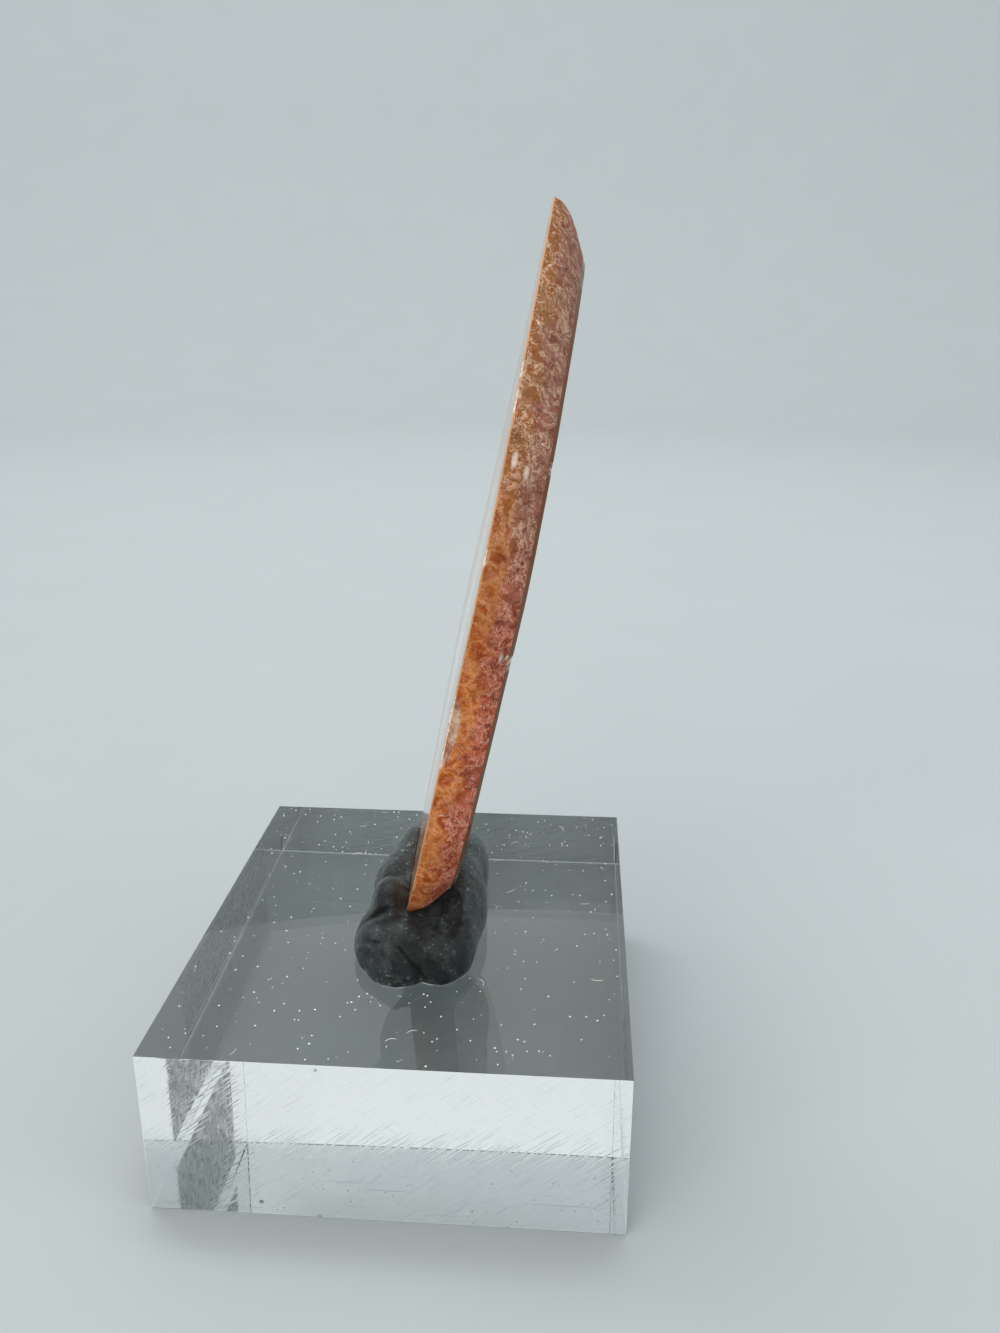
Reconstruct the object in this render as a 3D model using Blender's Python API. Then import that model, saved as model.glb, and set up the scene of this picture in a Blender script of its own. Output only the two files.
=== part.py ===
"""A polished agate slice, held upright by black mineral tack on a clear acrylic block.

The slab is one thin piece of natural stone. It stands on its narrow end and leans to the right,
with its raw rind rim towards the front. Its foot is pressed into a kneaded lump of tack, and the
lump sits on the block. Nothing is fastened: each piece only rests in or on the next.

Metres, +Z up. The origin is the centre of the block's underside, +X is to the right of someone
who faces the front, and +Y points away from them.
"""

import math

import bmesh
import bpy
import numpy as np
from mathutils import Vector, noise

MM = 0.001
REST_GAP = 0.3 * MM  # kept between pieces that touch

# The clear block
BLOCK_WIDTH = 50.8 * MM
BLOCK_DEPTH = 58.0 * MM
BLOCK_HEIGHT = 19.5 * MM
BLOCK_EDGE = 0.25 * MM  # the polished edges' tiny chamfer

# How the slab stands
SLAB_THICKNESS = 4.6 * MM
SLAB_LEAN = math.radians(11.8)  # from upright, towards +X
SLAB_TURN = math.radians(3.8)  # about +Z, so that the rim faces a little to the left
SLAB_FOOT_X = 0.34 * MM  # where the slab's middle plane meets the block's top, at y = 0

# The outline of the larger, left face: (away from the front, up along the slab) in mm, from the
# foot up the front rim to the tip, and down the back rim.
FACE_OUTLINE = (
    (0.0, 2.2), (-6.8, 4.3), (-13.0, 9.8), (-17.8, 18.5), (-20.4, 28.5), (-22.0, 38.5),
    (-23.6, 48.5), (-19.8, 59.5), (-13.4, 69.5), (-7.2, 77.6), (-2.0, 83.0), (0.6, 84.3),
    (2.6, 82.4), (3.4, 77.0), (3.8, 71.5), (5.8, 63.5), (10.6, 54.5), (17.4, 46.8),
    (23.0, 39.5), (25.0, 31.5), (22.0, 24.0), (16.0, 16.5), (10.4, 9.4), (6.0, 3.9),
)
OUTLINE_POINTS = 132
CURVE_STEPS = 24  # between two corners of an outline, before its points are spaced evenly
OUTLINE_TOP = 84.3 * MM
OUTLINE_FOOT = 2.2 * MM
OUTLINE_MIDDLE = 0.6 * MM

# The rind slopes, so the right face is smaller than the left one.
TOP_SLOPE_FROM = 45.0 * MM
TOP_DROP = 5.8 * MM
FOOT_SLOPE_FROM = 25.0 * MM
FOOT_RISE = 5.8 * MM
SIDE_DRAW = 0.955  # the right face's width as a share of the left one's
SLOPE_POWER = 1.5  # the slope starts gently at the left face and steepens towards the right
RIM_BULGE = 0.35 * MM
RIM_RINGS = 6
LEFT_EDGE = 0.15 * MM
RIGHT_EDGE = 0.4 * MM  # the least width of the polished chamfer along the right face

# The rind's lumps and the chip out of the left face's front edge
RIND_LUMP = 0.22 * MM
RIND_LUMP_SIZE = 3.2 * MM
CHIP_FROM = 29.5 * MM
CHIP_TO = 37.5 * MM
CHIP_DEPTH = 1.0 * MM
CHIP_REACH = (1.0, 0.45)  # how far the face's edge and the next ring are drawn in

# The tack: lobes as (x, y, height above the block) and half-sizes (across, along, up), in mm
TACK_LOBES = (
    ((0.6, -0.4, 1.4), (4.4, 9.5, 4.4)),
    ((-0.6, -9.9, 0.9), (4.2, 5.9, 3.9)),
    ((3.9, -8.4, 1.0), (3.9, 6.6, 4.0)),
    ((-2.7, -5.0, 2.6), (2.5, 4.6, 4.9)),
    ((-3.9, -8.0, 1.2), (2.5, 4.8, 3.6)),
    ((5.6, -1.6, 2.4), (3.0, 8.0, 5.2)),
    ((-2.7, 2.6, 2.0), (3.2, 5.6, 4.6)),
    ((-1.7, 7.2, 2.7), (2.7, 6.0, 5.2)),
    ((4.6, 6.4, 2.4), (3.6, 6.6, 5.0)),
    ((0.9, 11.2, 1.2), (4.6, 4.6, 4.2)),
)
TACK_SHARPNESS = 5.0  # how deep the creases between two lobes are
TACK_CENTRE = (0.6, -0.8, 2.0)
TACK_LONG_WAY = (1.0, 1.7, 0.9)  # draws the sphere of directions out along the lump
TACK_FINENESS = 5  # subdivisions of that sphere
TACK_REACH = 30.0  # mm, past the furthest lobe
TACK_HALVINGS = 22  # of that reach, to find the skin
TACK_LUMP = 0.25
TACK_LUMP_SIZE = 3.0
TACK_POCKET_GAP = 0.3 * MM

AGATE_COLOUR = (0.44, 0.16, 0.07, 1.0)
AGATE_ROUGHNESS = 0.45
TACK_COLOUR = (0.021, 0.022, 0.024, 1.0)
TACK_ROUGHNESS = 0.5
ACRYLIC_COLOUR = (0.93, 0.96, 0.96, 1.0)
ACRYLIC_ROUGHNESS = 0.03
ACRYLIC_ALPHA = 0.35
ACRYLIC_TRANSMISSION = 1.0
SMOOTH_ANGLE = math.radians(35)  # edges flatter than this are shaded smooth

SLAB_OUT = Vector((
    math.cos(SLAB_LEAN) * math.cos(SLAB_TURN),
    math.cos(SLAB_LEAN) * math.sin(SLAB_TURN),
    -math.sin(SLAB_LEAN),
))
SLAB_AWAY = Vector((-math.sin(SLAB_TURN), math.cos(SLAB_TURN), 0.0))
SLAB_UP = Vector((
    math.sin(SLAB_LEAN) * math.cos(SLAB_TURN),
    math.sin(SLAB_LEAN) * math.sin(SLAB_TURN),
    math.cos(SLAB_LEAN),
))
SLAB_FOOT = Vector((SLAB_FOOT_X, 0.0, BLOCK_HEIGHT))


def clear_scene():
    for old in list(bpy.data.objects):
        bpy.data.objects.remove(old)


def make_material(name, colour, roughness, alpha=1.0, transmission=0.0):
    material = bpy.data.materials.new(name)
    material.use_nodes = True
    shader = material.node_tree.nodes["Principled BSDF"]
    shader.inputs["Base Color"].default_value = colour
    shader.inputs["Roughness"].default_value = roughness
    shader.inputs["Metallic"].default_value = 0.0
    shader.inputs["Transmission Weight"].default_value = transmission
    shader.inputs["Alpha"].default_value = alpha
    return material


def add_object(name, bm, material):
    mesh = bpy.data.meshes.new(name)
    bmesh.ops.recalc_face_normals(bm, faces=bm.faces)
    bm.to_mesh(mesh)
    bm.free()
    mesh.shade_smooth()
    mesh.set_sharp_from_angle(angle=SMOOTH_ANGLE)
    made = bpy.data.objects.new(name, mesh)
    bpy.context.scene.collection.objects.link(made)
    if material:
        made.data.materials.append(material)
    return made


def share(value, low, high):
    """How far value lies from low to high, held between 0 and 1."""
    return min(1.0, max(0.0, (value - low) / (high - low)))


def smooth_loop(corners, count):
    """Evenly spaced points on a closed Catmull-Rom curve through the corners."""
    spans = len(corners)
    dense = []
    for i in range(spans):
        a, b, c, d = (np.array(corners[(i + k) % spans]) for k in (-1, 0, 1, 2))
        for t in np.arange(CURVE_STEPS) / CURVE_STEPS:
            dense.append(
                0.5 * (2 * b + (c - a) * t + (2 * a - 5 * b + 4 * c - d) * t**2
                       + (3 * b - a - 3 * c + d) * t**3)
            )
    dense = np.array(dense + dense[:1])
    lengths = np.linalg.norm(np.diff(dense, axis=0), axis=1)
    along = np.concatenate([[0.0], np.cumsum(lengths)])
    wanted = np.arange(count) / count * along[-1]
    return np.stack([np.interp(wanted, along, dense[:, k]) for k in (0, 1)], axis=1)


def outward_directions(loop):
    """Unit directions that point out of a loop which runs front to back over its top."""
    run = np.roll(loop, -1, axis=0) - np.roll(loop, 1, axis=0)
    run /= np.linalg.norm(run, axis=1)[:, None]
    return np.stack([-run[:, 1], run[:, 0]], axis=1)


def sloped(loop):
    """The left face's outline as the rind's slope carries it to the right face."""
    carried = loop.copy()
    for point in carried:
        top = share(point[1], TOP_SLOPE_FROM, OUTLINE_TOP)
        foot = share(-point[1], -FOOT_SLOPE_FROM, -OUTLINE_FOOT)
        point[0] = OUTLINE_MIDDLE + (point[0] - OUTLINE_MIDDLE) * SIDE_DRAW
        point[1] += FOOT_RISE * foot**2 - TOP_DROP * top**2
    return carried


def chip_share(point):
    """How deep the chip bites at a point of the outline, from 0 to 1."""
    if point[0] > OUTLINE_MIDDLE:
        return 0.0
    return math.sqrt(max(0.0, math.sin(math.pi * share(point[1], CHIP_FROM, CHIP_TO))))


def slab_point(away, up, out):
    return SLAB_FOOT + SLAB_AWAY * away + SLAB_UP * up + SLAB_OUT * out


def slab_rings(grow):
    """Rings of (away, up, out) points from the left face's edge, over the rim, to the right one's.

    grow moves every face outwards, which makes the slab's pocket.
    """
    left = smooth_loop([(a * MM, b * MM) for a, b in FACE_OUTLINE], OUTLINE_POINTS)
    right = sloped(left)
    normals = outward_directions(left)
    half = SLAB_THICKNESS / 2
    chips = np.array([chip_share(p) for p in left])[:, None] * CHIP_DEPTH
    rings = [(left - normals * (LEFT_EDGE + chips * CHIP_REACH[0] - grow), -half - grow)]
    for i in range(RIM_RINGS + 1):
        part = i / RIM_RINGS
        out = -half + LEFT_EDGE + part * (SLAB_THICKNESS - LEFT_EDGE - RIGHT_EDGE)
        ring = left + (right - left) * ((out + half) / SLAB_THICKNESS)**SLOPE_POWER
        swell = RIM_BULGE * math.sin(math.pi * part) + grow
        lumps = np.array([
            noise.noise(Vector((p[0], p[1], out)) / RIND_LUMP_SIZE) for p in ring
        ])[:, None]
        chipped = chips * CHIP_REACH[1] if i == 0 else 0.0
        ring = ring + normals * (swell - chipped + RIND_LUMP * lumps)
        rings.append((ring, out))
    last = rings[-1][0]
    chamfer = np.maximum(RIGHT_EDGE, ((last - right) * normals).sum(axis=1) - grow)
    rings.append((last - normals * chamfer[:, None], half + grow))
    return rings


def slab_bmesh(grow=0.0):
    bm = bmesh.new()
    loops = [
        [bm.verts.new(slab_point(p[0], p[1], out)) for p in ring]
        for ring, out in slab_rings(grow)
    ]
    for low, high in zip(loops, loops[1:]):
        for i, corner in enumerate(low):
            j = (i + 1) % len(low)
            bm.faces.new((corner, low[j], high[j], high[i]))
    caps = [bm.faces.new(loops[0]), bm.faces.new(loops[-1])]
    bmesh.ops.triangulate(bm, faces=caps)
    return bm


def build_slab():
    agate = make_material("agate", AGATE_COLOUR, AGATE_ROUGHNESS)
    return add_object("agate_slice", slab_bmesh(), agate)


def tack_level(point):
    """Above 1 inside the kneaded lump and below 1 outside it. The point is in mm."""
    total = 0.0
    for centre, half in TACK_LOBES:
        apart = sum(((point[k] - centre[k]) / half[k]) ** 2 for k in range(3))
        total += math.exp(TACK_SHARPNESS * (1.0 - apart))
    return total


def tack_radius(centre, direction):
    """The distance in mm from the lump's centre to its skin, found by halving."""
    low, high = 0.0, TACK_REACH
    for _ in range(TACK_HALVINGS):
        middle = (low + high) / 2
        if tack_level(centre + direction * middle) > 1.0:
            low = middle
        else:
            high = middle
    return low


def build_tack():
    centre = Vector(TACK_CENTRE)
    floor = (REST_GAP / MM) - centre.z
    long_way = Vector(TACK_LONG_WAY)
    bm = bmesh.new()
    bmesh.ops.create_icosphere(bm, subdivisions=TACK_FINENESS, radius=1.0)
    for vert in bm.verts:
        direction = (vert.co * long_way).normalized()
        reach = tack_radius(centre, direction)
        skin = centre + direction * reach
        reach += TACK_LUMP * noise.noise(skin / TACK_LUMP_SIZE)
        if direction.z < 0.0:
            reach = min(reach, floor / direction.z)
        vert.co = (centre + direction * reach) * MM + Vector((0.0, 0.0, BLOCK_HEIGHT))
    tack = add_object("putty", bm, make_material("mineral tack", TACK_COLOUR, TACK_ROUGHNESS))
    cut_pocket(tack)
    return tack


def cut_pocket(tack):
    """Cuts the slot that the slab's foot has pressed into the tack."""
    cutter = add_object("slab_pocket", slab_bmesh(TACK_POCKET_GAP), None)
    cutter.hide_render = True
    cutter.display_type = "WIRE"
    pocket = tack.modifiers.new("slab pocket", "BOOLEAN")
    pocket.operation = "DIFFERENCE"
    pocket.solver = "EXACT"
    pocket.object = cutter


def build_block():
    bm = bmesh.new()
    bmesh.ops.create_cube(bm, size=1.0)
    size = Vector((BLOCK_WIDTH, BLOCK_DEPTH, BLOCK_HEIGHT))
    for vert in bm.verts:
        vert.co = vert.co * size + Vector((0.0, 0.0, BLOCK_HEIGHT / 2))
    clear = make_material(
        "clear acrylic", ACRYLIC_COLOUR, ACRYLIC_ROUGHNESS, ACRYLIC_ALPHA, ACRYLIC_TRANSMISSION)
    block = add_object("acrylic_block", bm, clear)
    edge = block.modifiers.new("polished edges", "BEVEL")
    edge.width = BLOCK_EDGE
    edge.segments = 1
    edge.limit_method = "ANGLE"
    return block


def main():
    clear_scene()
    build_block()
    build_tack()
    build_slab()


main()
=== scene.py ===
"""The looks of an agate slice that stands in black mineral tack on a clear acrylic block.

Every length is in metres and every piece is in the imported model's own frame: the origin is the
centre of the block's underside, +Z is up and +Y points away from the front.
"""

import logging
import math
from dataclasses import dataclass, replace
from enum import Enum

import bmesh
import bpy
import numpy as np
from mathutils import Matrix, Vector, noise
from mathutils.geometry import delaunay_2d_cdt


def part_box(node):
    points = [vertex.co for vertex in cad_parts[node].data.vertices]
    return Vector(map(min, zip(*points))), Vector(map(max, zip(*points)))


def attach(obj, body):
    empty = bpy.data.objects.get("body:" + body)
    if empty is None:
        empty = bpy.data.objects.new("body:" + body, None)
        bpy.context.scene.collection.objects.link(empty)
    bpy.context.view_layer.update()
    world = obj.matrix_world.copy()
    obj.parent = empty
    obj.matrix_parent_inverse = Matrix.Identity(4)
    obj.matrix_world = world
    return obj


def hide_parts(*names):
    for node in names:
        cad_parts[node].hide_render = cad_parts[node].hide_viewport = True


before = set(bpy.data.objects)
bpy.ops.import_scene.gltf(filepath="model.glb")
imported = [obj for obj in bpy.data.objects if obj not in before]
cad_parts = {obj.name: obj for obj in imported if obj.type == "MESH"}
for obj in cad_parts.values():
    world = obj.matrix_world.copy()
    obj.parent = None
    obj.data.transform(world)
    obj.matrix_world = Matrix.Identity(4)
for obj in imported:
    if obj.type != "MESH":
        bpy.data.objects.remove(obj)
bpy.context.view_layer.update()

MM = 0.001
BODY = "root"
BATCH = 1500
LOG = logging.getLogger("agate")

Colour = tuple[float, float, float, float]
Points = np.ndarray
Started = tuple[bpy.types.Material, bpy.types.NodeTree, bpy.types.Node, bpy.types.NodeSocket]


class Face(Enum):
    """The slab's two sawn faces, by the side of the middle plane that each is on."""

    LEFT = -1
    RIGHT = 1


class Attribute(Enum):
    """What the slab's mesh tells its materials at each point."""

    ACROSS = "rim_across"
    HEIGHT = "height_mm"
    DEPTH = "band_depth_mm"
    CHIP = "chip"
    FLECK = "white_fleck"


def linear(code: str) -> Colour:
    """Turns an sRGB hex colour to linear values.

    Args:
        code: the colour as "#rrggbb".

    Returns:
        Red, green, blue and an alpha of 1.
    """
    shares = [int(code[i:i + 2], 16) / 255 for i in (1, 3, 5)]
    lit = [s / 12.92 if s <= 0.04045 else ((s + 0.055) / 1.055) ** 2.4 for s in shares]
    return lit[0], lit[1], lit[2], 1.0


def every_mm(size: float) -> float:
    """Returns the texture scale, on coordinates in metres, of a pattern this many mm in size."""
    return 1 / (size * MM)


def add_node(tree: bpy.types.NodeTree, kind: str, sockets: dict | None = None,
             stops: tuple = (), **settings: object) -> bpy.types.Node:
    """Adds one node with its settings and links.

    Args:
        tree: the material's or modifier's node tree.
        kind: the node's Blender type.
        sockets: input name or number, to a value or to the output socket that feeds it.
        stops: a colour ramp's (position, hex colour) pairs.
        settings: properties of the node itself.

    Returns:
        The new node.
    """
    node = tree.nodes.new(kind)
    for name, value in settings.items():
        setattr(node, name, value)
    for name, value in (sockets or {}).items():
        if isinstance(value, bpy.types.NodeSocket):
            tree.links.new(value, node.inputs[name])
        else:
            node.inputs[name].default_value = value
    for i, (place, code) in enumerate(stops):
        ramp = node.color_ramp.elements
        stop = ramp[i] if i < len(ramp) else ramp.new(place)
        stop.position = place
        stop.color = linear(code)
    return node


def add_object(name: str, data: bpy.types.ID) -> bpy.types.Object:
    """Makes an object at the origin.

    Args:
        name: its name.
        data: its mesh, lamp or camera.

    Returns:
        The object, linked to the scene.
    """
    made = bpy.data.objects.new(name, data)
    bpy.context.scene.collection.objects.link(made)
    return made


def add_mesh(name: str, verts: Points, faces: list) -> bpy.types.Object:
    """Makes a smooth-shaded mesh object at the origin.

    Args:
        name: the piece's name.
        verts: its points, in metres.
        faces: corner numbers of each face.

    Returns:
        The object, linked to the scene.
    """
    mesh = bpy.data.meshes.new(name)
    mesh.from_pydata(verts.tolist(), [], faces)
    mesh.shade_smooth()
    return add_object(name, mesh)


def add_float(mesh: bpy.types.Mesh, attribute: Attribute, values: Points) -> None:
    """Stores one number for each point of a mesh.

    Args:
        mesh: the mesh.
        attribute: what the numbers are.
        values: one number for each point, in order.
    """
    layer = mesh.attributes.new(attribute.value, "FLOAT", "POINT")
    layer.data.foreach_set("value", values.astype(np.float32))


def hand_over(piece: bpy.types.Object, slot: str, *nodes: str) -> None:
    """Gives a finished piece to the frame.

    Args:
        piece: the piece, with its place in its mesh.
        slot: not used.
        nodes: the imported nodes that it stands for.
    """
    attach(piece, BODY)
    if nodes:
        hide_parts(*nodes)


def report(piece: bpy.types.Object) -> None:
    """Logs a finished piece.

    Args:
        piece: the piece.
    """
    LOG.info("%s: %d points, %d faces", piece.name, len(piece.data.vertices),
             len(piece.data.polygons))


def settle(piece: bpy.types.Object, modifier: bpy.types.Modifier) -> None:
    """Turns a piece and its one modifier into a plain mesh.

    Args:
        piece: the piece.
        modifier: the modifier, which is removed.
    """
    shaped = bpy.data.meshes.new_from_object(
        piece.evaluated_get(bpy.context.evaluated_depsgraph_get()))
    piece.modifiers.remove(modifier)
    piece.data = shaped
    shaped.name = piece.name


def stitched(rings: int, count: int) -> list:
    """Joins each ring of points to the next one with four-sided faces.

    Args:
        rings: how many rings there are.
        count: how many points each has.

    Returns:
        The corner numbers of each face, ring by ring.
    """
    return [(a + i, a + (i + 1) % count, a + count + (i + 1) % count, a + count + i)
            for a in range(0, (rings - 1) * count, count) for i in range(count)]


def share(value: Points, low: float, high: float) -> Points:
    """Returns how far value lies from low to high, held between 0 and 1."""
    return np.clip((value - low) / (high - low), 0.0, 1.0)


def lumps(points: Points, size: float) -> Points:
    """Smooth noise over points.

    Args:
        points: one row for each point, in mm.
        size: the size of a lump in mm.

    Returns:
        One value for each point, about -1 to 1.
    """
    return np.array([noise.noise(Vector(p)) for p in points / size])


def distance_inside(points: Points, loop: Points) -> Points:
    """How far points lie inside a closed outline.

    Args:
        points: (x, y) rows.
        loop: the outline's corners, closely spaced.

    Returns:
        The distance to the outline, negative outside it.
    """
    following = np.roll(loop, -1, axis=0)
    edge = following - loop
    size = (edge**2).sum(axis=1)
    nearest = np.empty(len(points))
    inside = np.zeros(len(points), bool)
    for start in range(0, len(points), BATCH):
        batch = slice(start, start + BATCH)
        part = points[batch, None, :]
        along = np.clip(((part - loop) * edge).sum(axis=2) / size, 0, 1)
        gap = part - loop - along[:, :, None] * edge
        nearest[batch] = np.sqrt((gap**2).sum(axis=2).min(axis=1))
        crosses = (loop[:, 1] > part[:, :, 1]) != (following[:, 1] > part[:, :, 1])
        rise = np.where(edge[:, 1] == 0, 1e-12, edge[:, 1])
        at = loop[:, 0] + (part[:, :, 1] - loop[:, 1]) / rise * edge[:, 0]
        hits = (crosses & (part[:, :, 0] < at)).sum(axis=1)
        inside[batch] = hits % 2 == 1
    return np.where(inside, nearest, -nearest)


def close_seams(mesh: bpy.types.Mesh, apart: float = 1e-7) -> None:
    """Merges a mesh's doubled points and turns its faces outwards.

    Args:
        mesh: the mesh.
        apart: points this close are one.
    """
    bm = bmesh.new()
    bm.from_mesh(mesh)
    bmesh.ops.remove_doubles(bm, verts=bm.verts, dist=apart)
    bmesh.ops.recalc_face_normals(bm, faces=bm.faces)
    bm.to_mesh(mesh)
    bm.free()


@dataclass(frozen=True)
class Finish:
    """What every finish shares: its Principled shader and its coordinates."""

    def start(self, name: str, sockets: dict) -> Started:
        """Makes the material.

        Args:
            name: what the real material is.
            sockets: the shader's values that are the same all over the surface.

        Returns:
            The material, its tree, its shader and its object coordinates.
        """
        material = bpy.data.materials.new(name)
        material.use_nodes = True
        tree = material.node_tree
        shader = tree.nodes["Principled BSDF"]
        for socket, value in sockets.items():
            shader.inputs[socket].default_value = value
        place = add_node(tree, "ShaderNodeTexCoord").outputs["Object"]
        return material, tree, shader, place


@dataclass(frozen=True)
class RawRind(Finish):
    """The nodule's natural skin: iron-stained chalcedony, granular, dull and unpolished.

    It reads as golden amber beside the left face and as brick-mauve beside the right one,
    greyer towards the tip, under short curls of pale quartz and with fine flecks.
    """

    amber: str = "#b05c1a"
    gold: str = "#c47632"
    burnt: str = "#a04406"
    wall: str = "#d2945e"
    brick: str = "#b04e28"
    rose: str = "#c4705a"
    plum: str = "#86341f"
    weathered_amber: str = "#7e522c"
    weathered_rose: str = "#8a5e4e"
    pore: str = "#5a2610"
    fresh_curl: str = "#e2a58c"
    worn_curl: str = "#cdad92"
    fleck: str = "#ead8c6"
    white: str = "#bfa99b"
    chip: str = "#c2a48e"
    chip_wall: str = "#8f5540"
    stir_mm: float = 1.4
    stir_depth_mm: float = 1.96
    mottle_mm: float = 1.3
    border_mm: float = 4.5
    cell_mm: float = 1.7
    grit_mm: float = 0.7
    pore_mm: float = 0.65
    curl_mm: float = 1.1
    fine_curl_mm: float = 0.55
    fleck_mm: float = 1.1
    grain_mm: float = 0.28
    deepest: float = 0.6
    deep_from_mm: float = 38.0
    deep_to_mm: float = 52.0
    worn_from_mm: float = 52.0
    worn_to_mm: float = 61.0
    worn_lower_mm: float = 6.0

    def amber_side(self, tree: bpy.types.NodeTree, warped: bpy.types.NodeSocket,
                   mottle: bpy.types.NodeSocket) -> bpy.types.NodeSocket:
        """Paints the half beside the left face: burnt cells in gold, parted by paler walls.

        Args:
            tree: the material's node tree.
            warped: the coordinates, stirred a little.
            mottle: fine noise.

        Returns:
            The colour.
        """
        cells = add_node(tree, "ShaderNodeTexVoronoi", {
            "Vector": warped, "Scale": every_mm(self.cell_mm)})
        borders = add_node(tree, "ShaderNodeTexVoronoi", {
            "Vector": warped, "Scale": every_mm(self.cell_mm)}, feature="DISTANCE_TO_EDGE")
        picked = add_node(tree, "ShaderNodeSeparateColor", {0: cells.outputs["Color"]})
        picked = add_node(tree, "ShaderNodeMapRange", {
            "Value": picked.outputs[0], "From Min": 0.25, "From Max": 0.6})
        deep = add_node(tree, "ShaderNodeMapRange", {
            "Value": borders.outputs["Distance"], "From Min": 0.05, "From Max": 0.28})
        burnt = add_node(tree, "ShaderNodeMath", {
            0: picked.outputs[0], 1: deep.outputs[0]}, operation="MULTIPLY")
        gold = add_node(tree, "ShaderNodeMapRange", {
            "Value": mottle, "From Min": 0.42, "From Max": 0.6})
        gold = add_node(tree, "ShaderNodeMix", {
            0: gold.outputs[0], 6: linear(self.amber), 7: linear(self.gold)}, data_type="RGBA")
        cell = add_node(tree, "ShaderNodeMix", {
            0: burnt.outputs[0], 6: gold.outputs[2], 7: linear(self.burnt)}, data_type="RGBA")
        wall = add_node(tree, "ShaderNodeMapRange", {
            "Value": borders.outputs["Distance"], "From Min": 0.12, "From Max": 0.02,
            "To Max": 0.42})
        return add_node(tree, "ShaderNodeMix", {
            0: wall.outputs[0], 6: cell.outputs[2], 7: linear(self.wall)},
            data_type="RGBA").outputs[2]

    def brick_side(self, tree: bpy.types.NodeTree, warped: bpy.types.NodeSocket,
                   mottle: bpy.types.NodeSocket) -> bpy.types.NodeSocket:
        """Paints the half beside the right face: brick and plum grains with rosy ones.

        Args:
            tree: the material's node tree.
            warped: the coordinates, stirred a little.
            mottle: fine noise.

        Returns:
            The colour.
        """
        grains = add_node(tree, "ShaderNodeTexVoronoi", {
            "Vector": warped, "Scale": every_mm(self.grit_mm)})
        picked = add_node(tree, "ShaderNodeSeparateColor", {0: grains.outputs["Color"]})
        rose = add_node(tree, "ShaderNodeMapRange", {
            "Value": picked.outputs[0], "From Min": 0.45, "From Max": 0.9, "To Max": 0.9})
        brick = add_node(tree, "ShaderNodeMapRange", {
            "Value": mottle, "From Min": 0.4, "From Max": 0.58})
        brick = add_node(tree, "ShaderNodeMix", {
            0: brick.outputs[0], 6: linear(self.plum), 7: linear(self.brick)}, data_type="RGBA")
        return add_node(tree, "ShaderNodeMix", {
            0: rose.outputs[0], 6: brick.outputs[2], 7: linear(self.rose)},
            data_type="RGBA").outputs[2]

    def curls(self, tree: bpy.types.NodeTree, warped: bpy.types.NodeSocket,
              size_mm: float) -> bpy.types.NodeSocket:
        """Draws short pale curls, where smooth noise crosses its middle value.

        Args:
            tree: the material's node tree.
            warped: the coordinates, stirred a little.
            size_mm: how far apart the curls are.

        Returns:
            How much of a curl is there, from 0 to 1.
        """
        drawn = add_node(tree, "ShaderNodeVectorMath", {0: warped, 1: (1.0, 1.0, 0.6)},
                         operation="MULTIPLY").outputs[0]
        field = add_node(tree, "ShaderNodeTexNoise", {
            "Vector": drawn, "Scale": every_mm(size_mm), "Detail": 2.5, "Roughness": 0.5,
            "Distortion": 0.9})
        off = add_node(tree, "ShaderNodeMath", {0: field.outputs[0], 1: 0.5},
                       operation="SUBTRACT")
        off = add_node(tree, "ShaderNodeMath", {0: off.outputs[0]}, operation="ABSOLUTE")
        line = add_node(tree, "ShaderNodeMapRange", {
            "Value": off.outputs[0], "From Min": 0.05, "From Max": 0.01})
        parts = add_node(tree, "ShaderNodeTexNoise", {
            "Vector": drawn, "Scale": every_mm(1.3 * size_mm), "Detail": 1.0})
        parts = add_node(tree, "ShaderNodeMapRange", {
            "Value": parts.outputs[0], "From Min": 0.44, "From Max": 0.5})
        return add_node(tree, "ShaderNodeMath", {0: line.outputs[0], 1: parts.outputs[0]},
                        operation="MULTIPLY").outputs[0]

    def flecks(self, tree: bpy.types.NodeTree,
               warped: bpy.types.NodeSocket) -> bpy.types.NodeSocket:
        """Scatters a few small white flecks.

        Args:
            tree: the material's node tree.
            warped: the coordinates, stirred a little.

        Returns:
            How much of a fleck is there, from 0 to 1.
        """
        grains = add_node(tree, "ShaderNodeTexVoronoi", {
            "Vector": warped, "Scale": every_mm(self.fleck_mm)})
        dots = add_node(tree, "ShaderNodeMapRange", {
            "Value": grains.outputs["Distance"], "From Min": 0.24, "From Max": 0.12,
            "To Max": 0.55})
        few = add_node(tree, "ShaderNodeSeparateColor", {0: grains.outputs["Color"]})
        few = add_node(tree, "ShaderNodeMath", {0: few.outputs[0], 1: 0.92},
                       operation="GREATER_THAN")
        return add_node(tree, "ShaderNodeMath", {0: dots.outputs[0], 1: few.outputs[0]},
                        operation="MULTIPLY").outputs[0]

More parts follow.
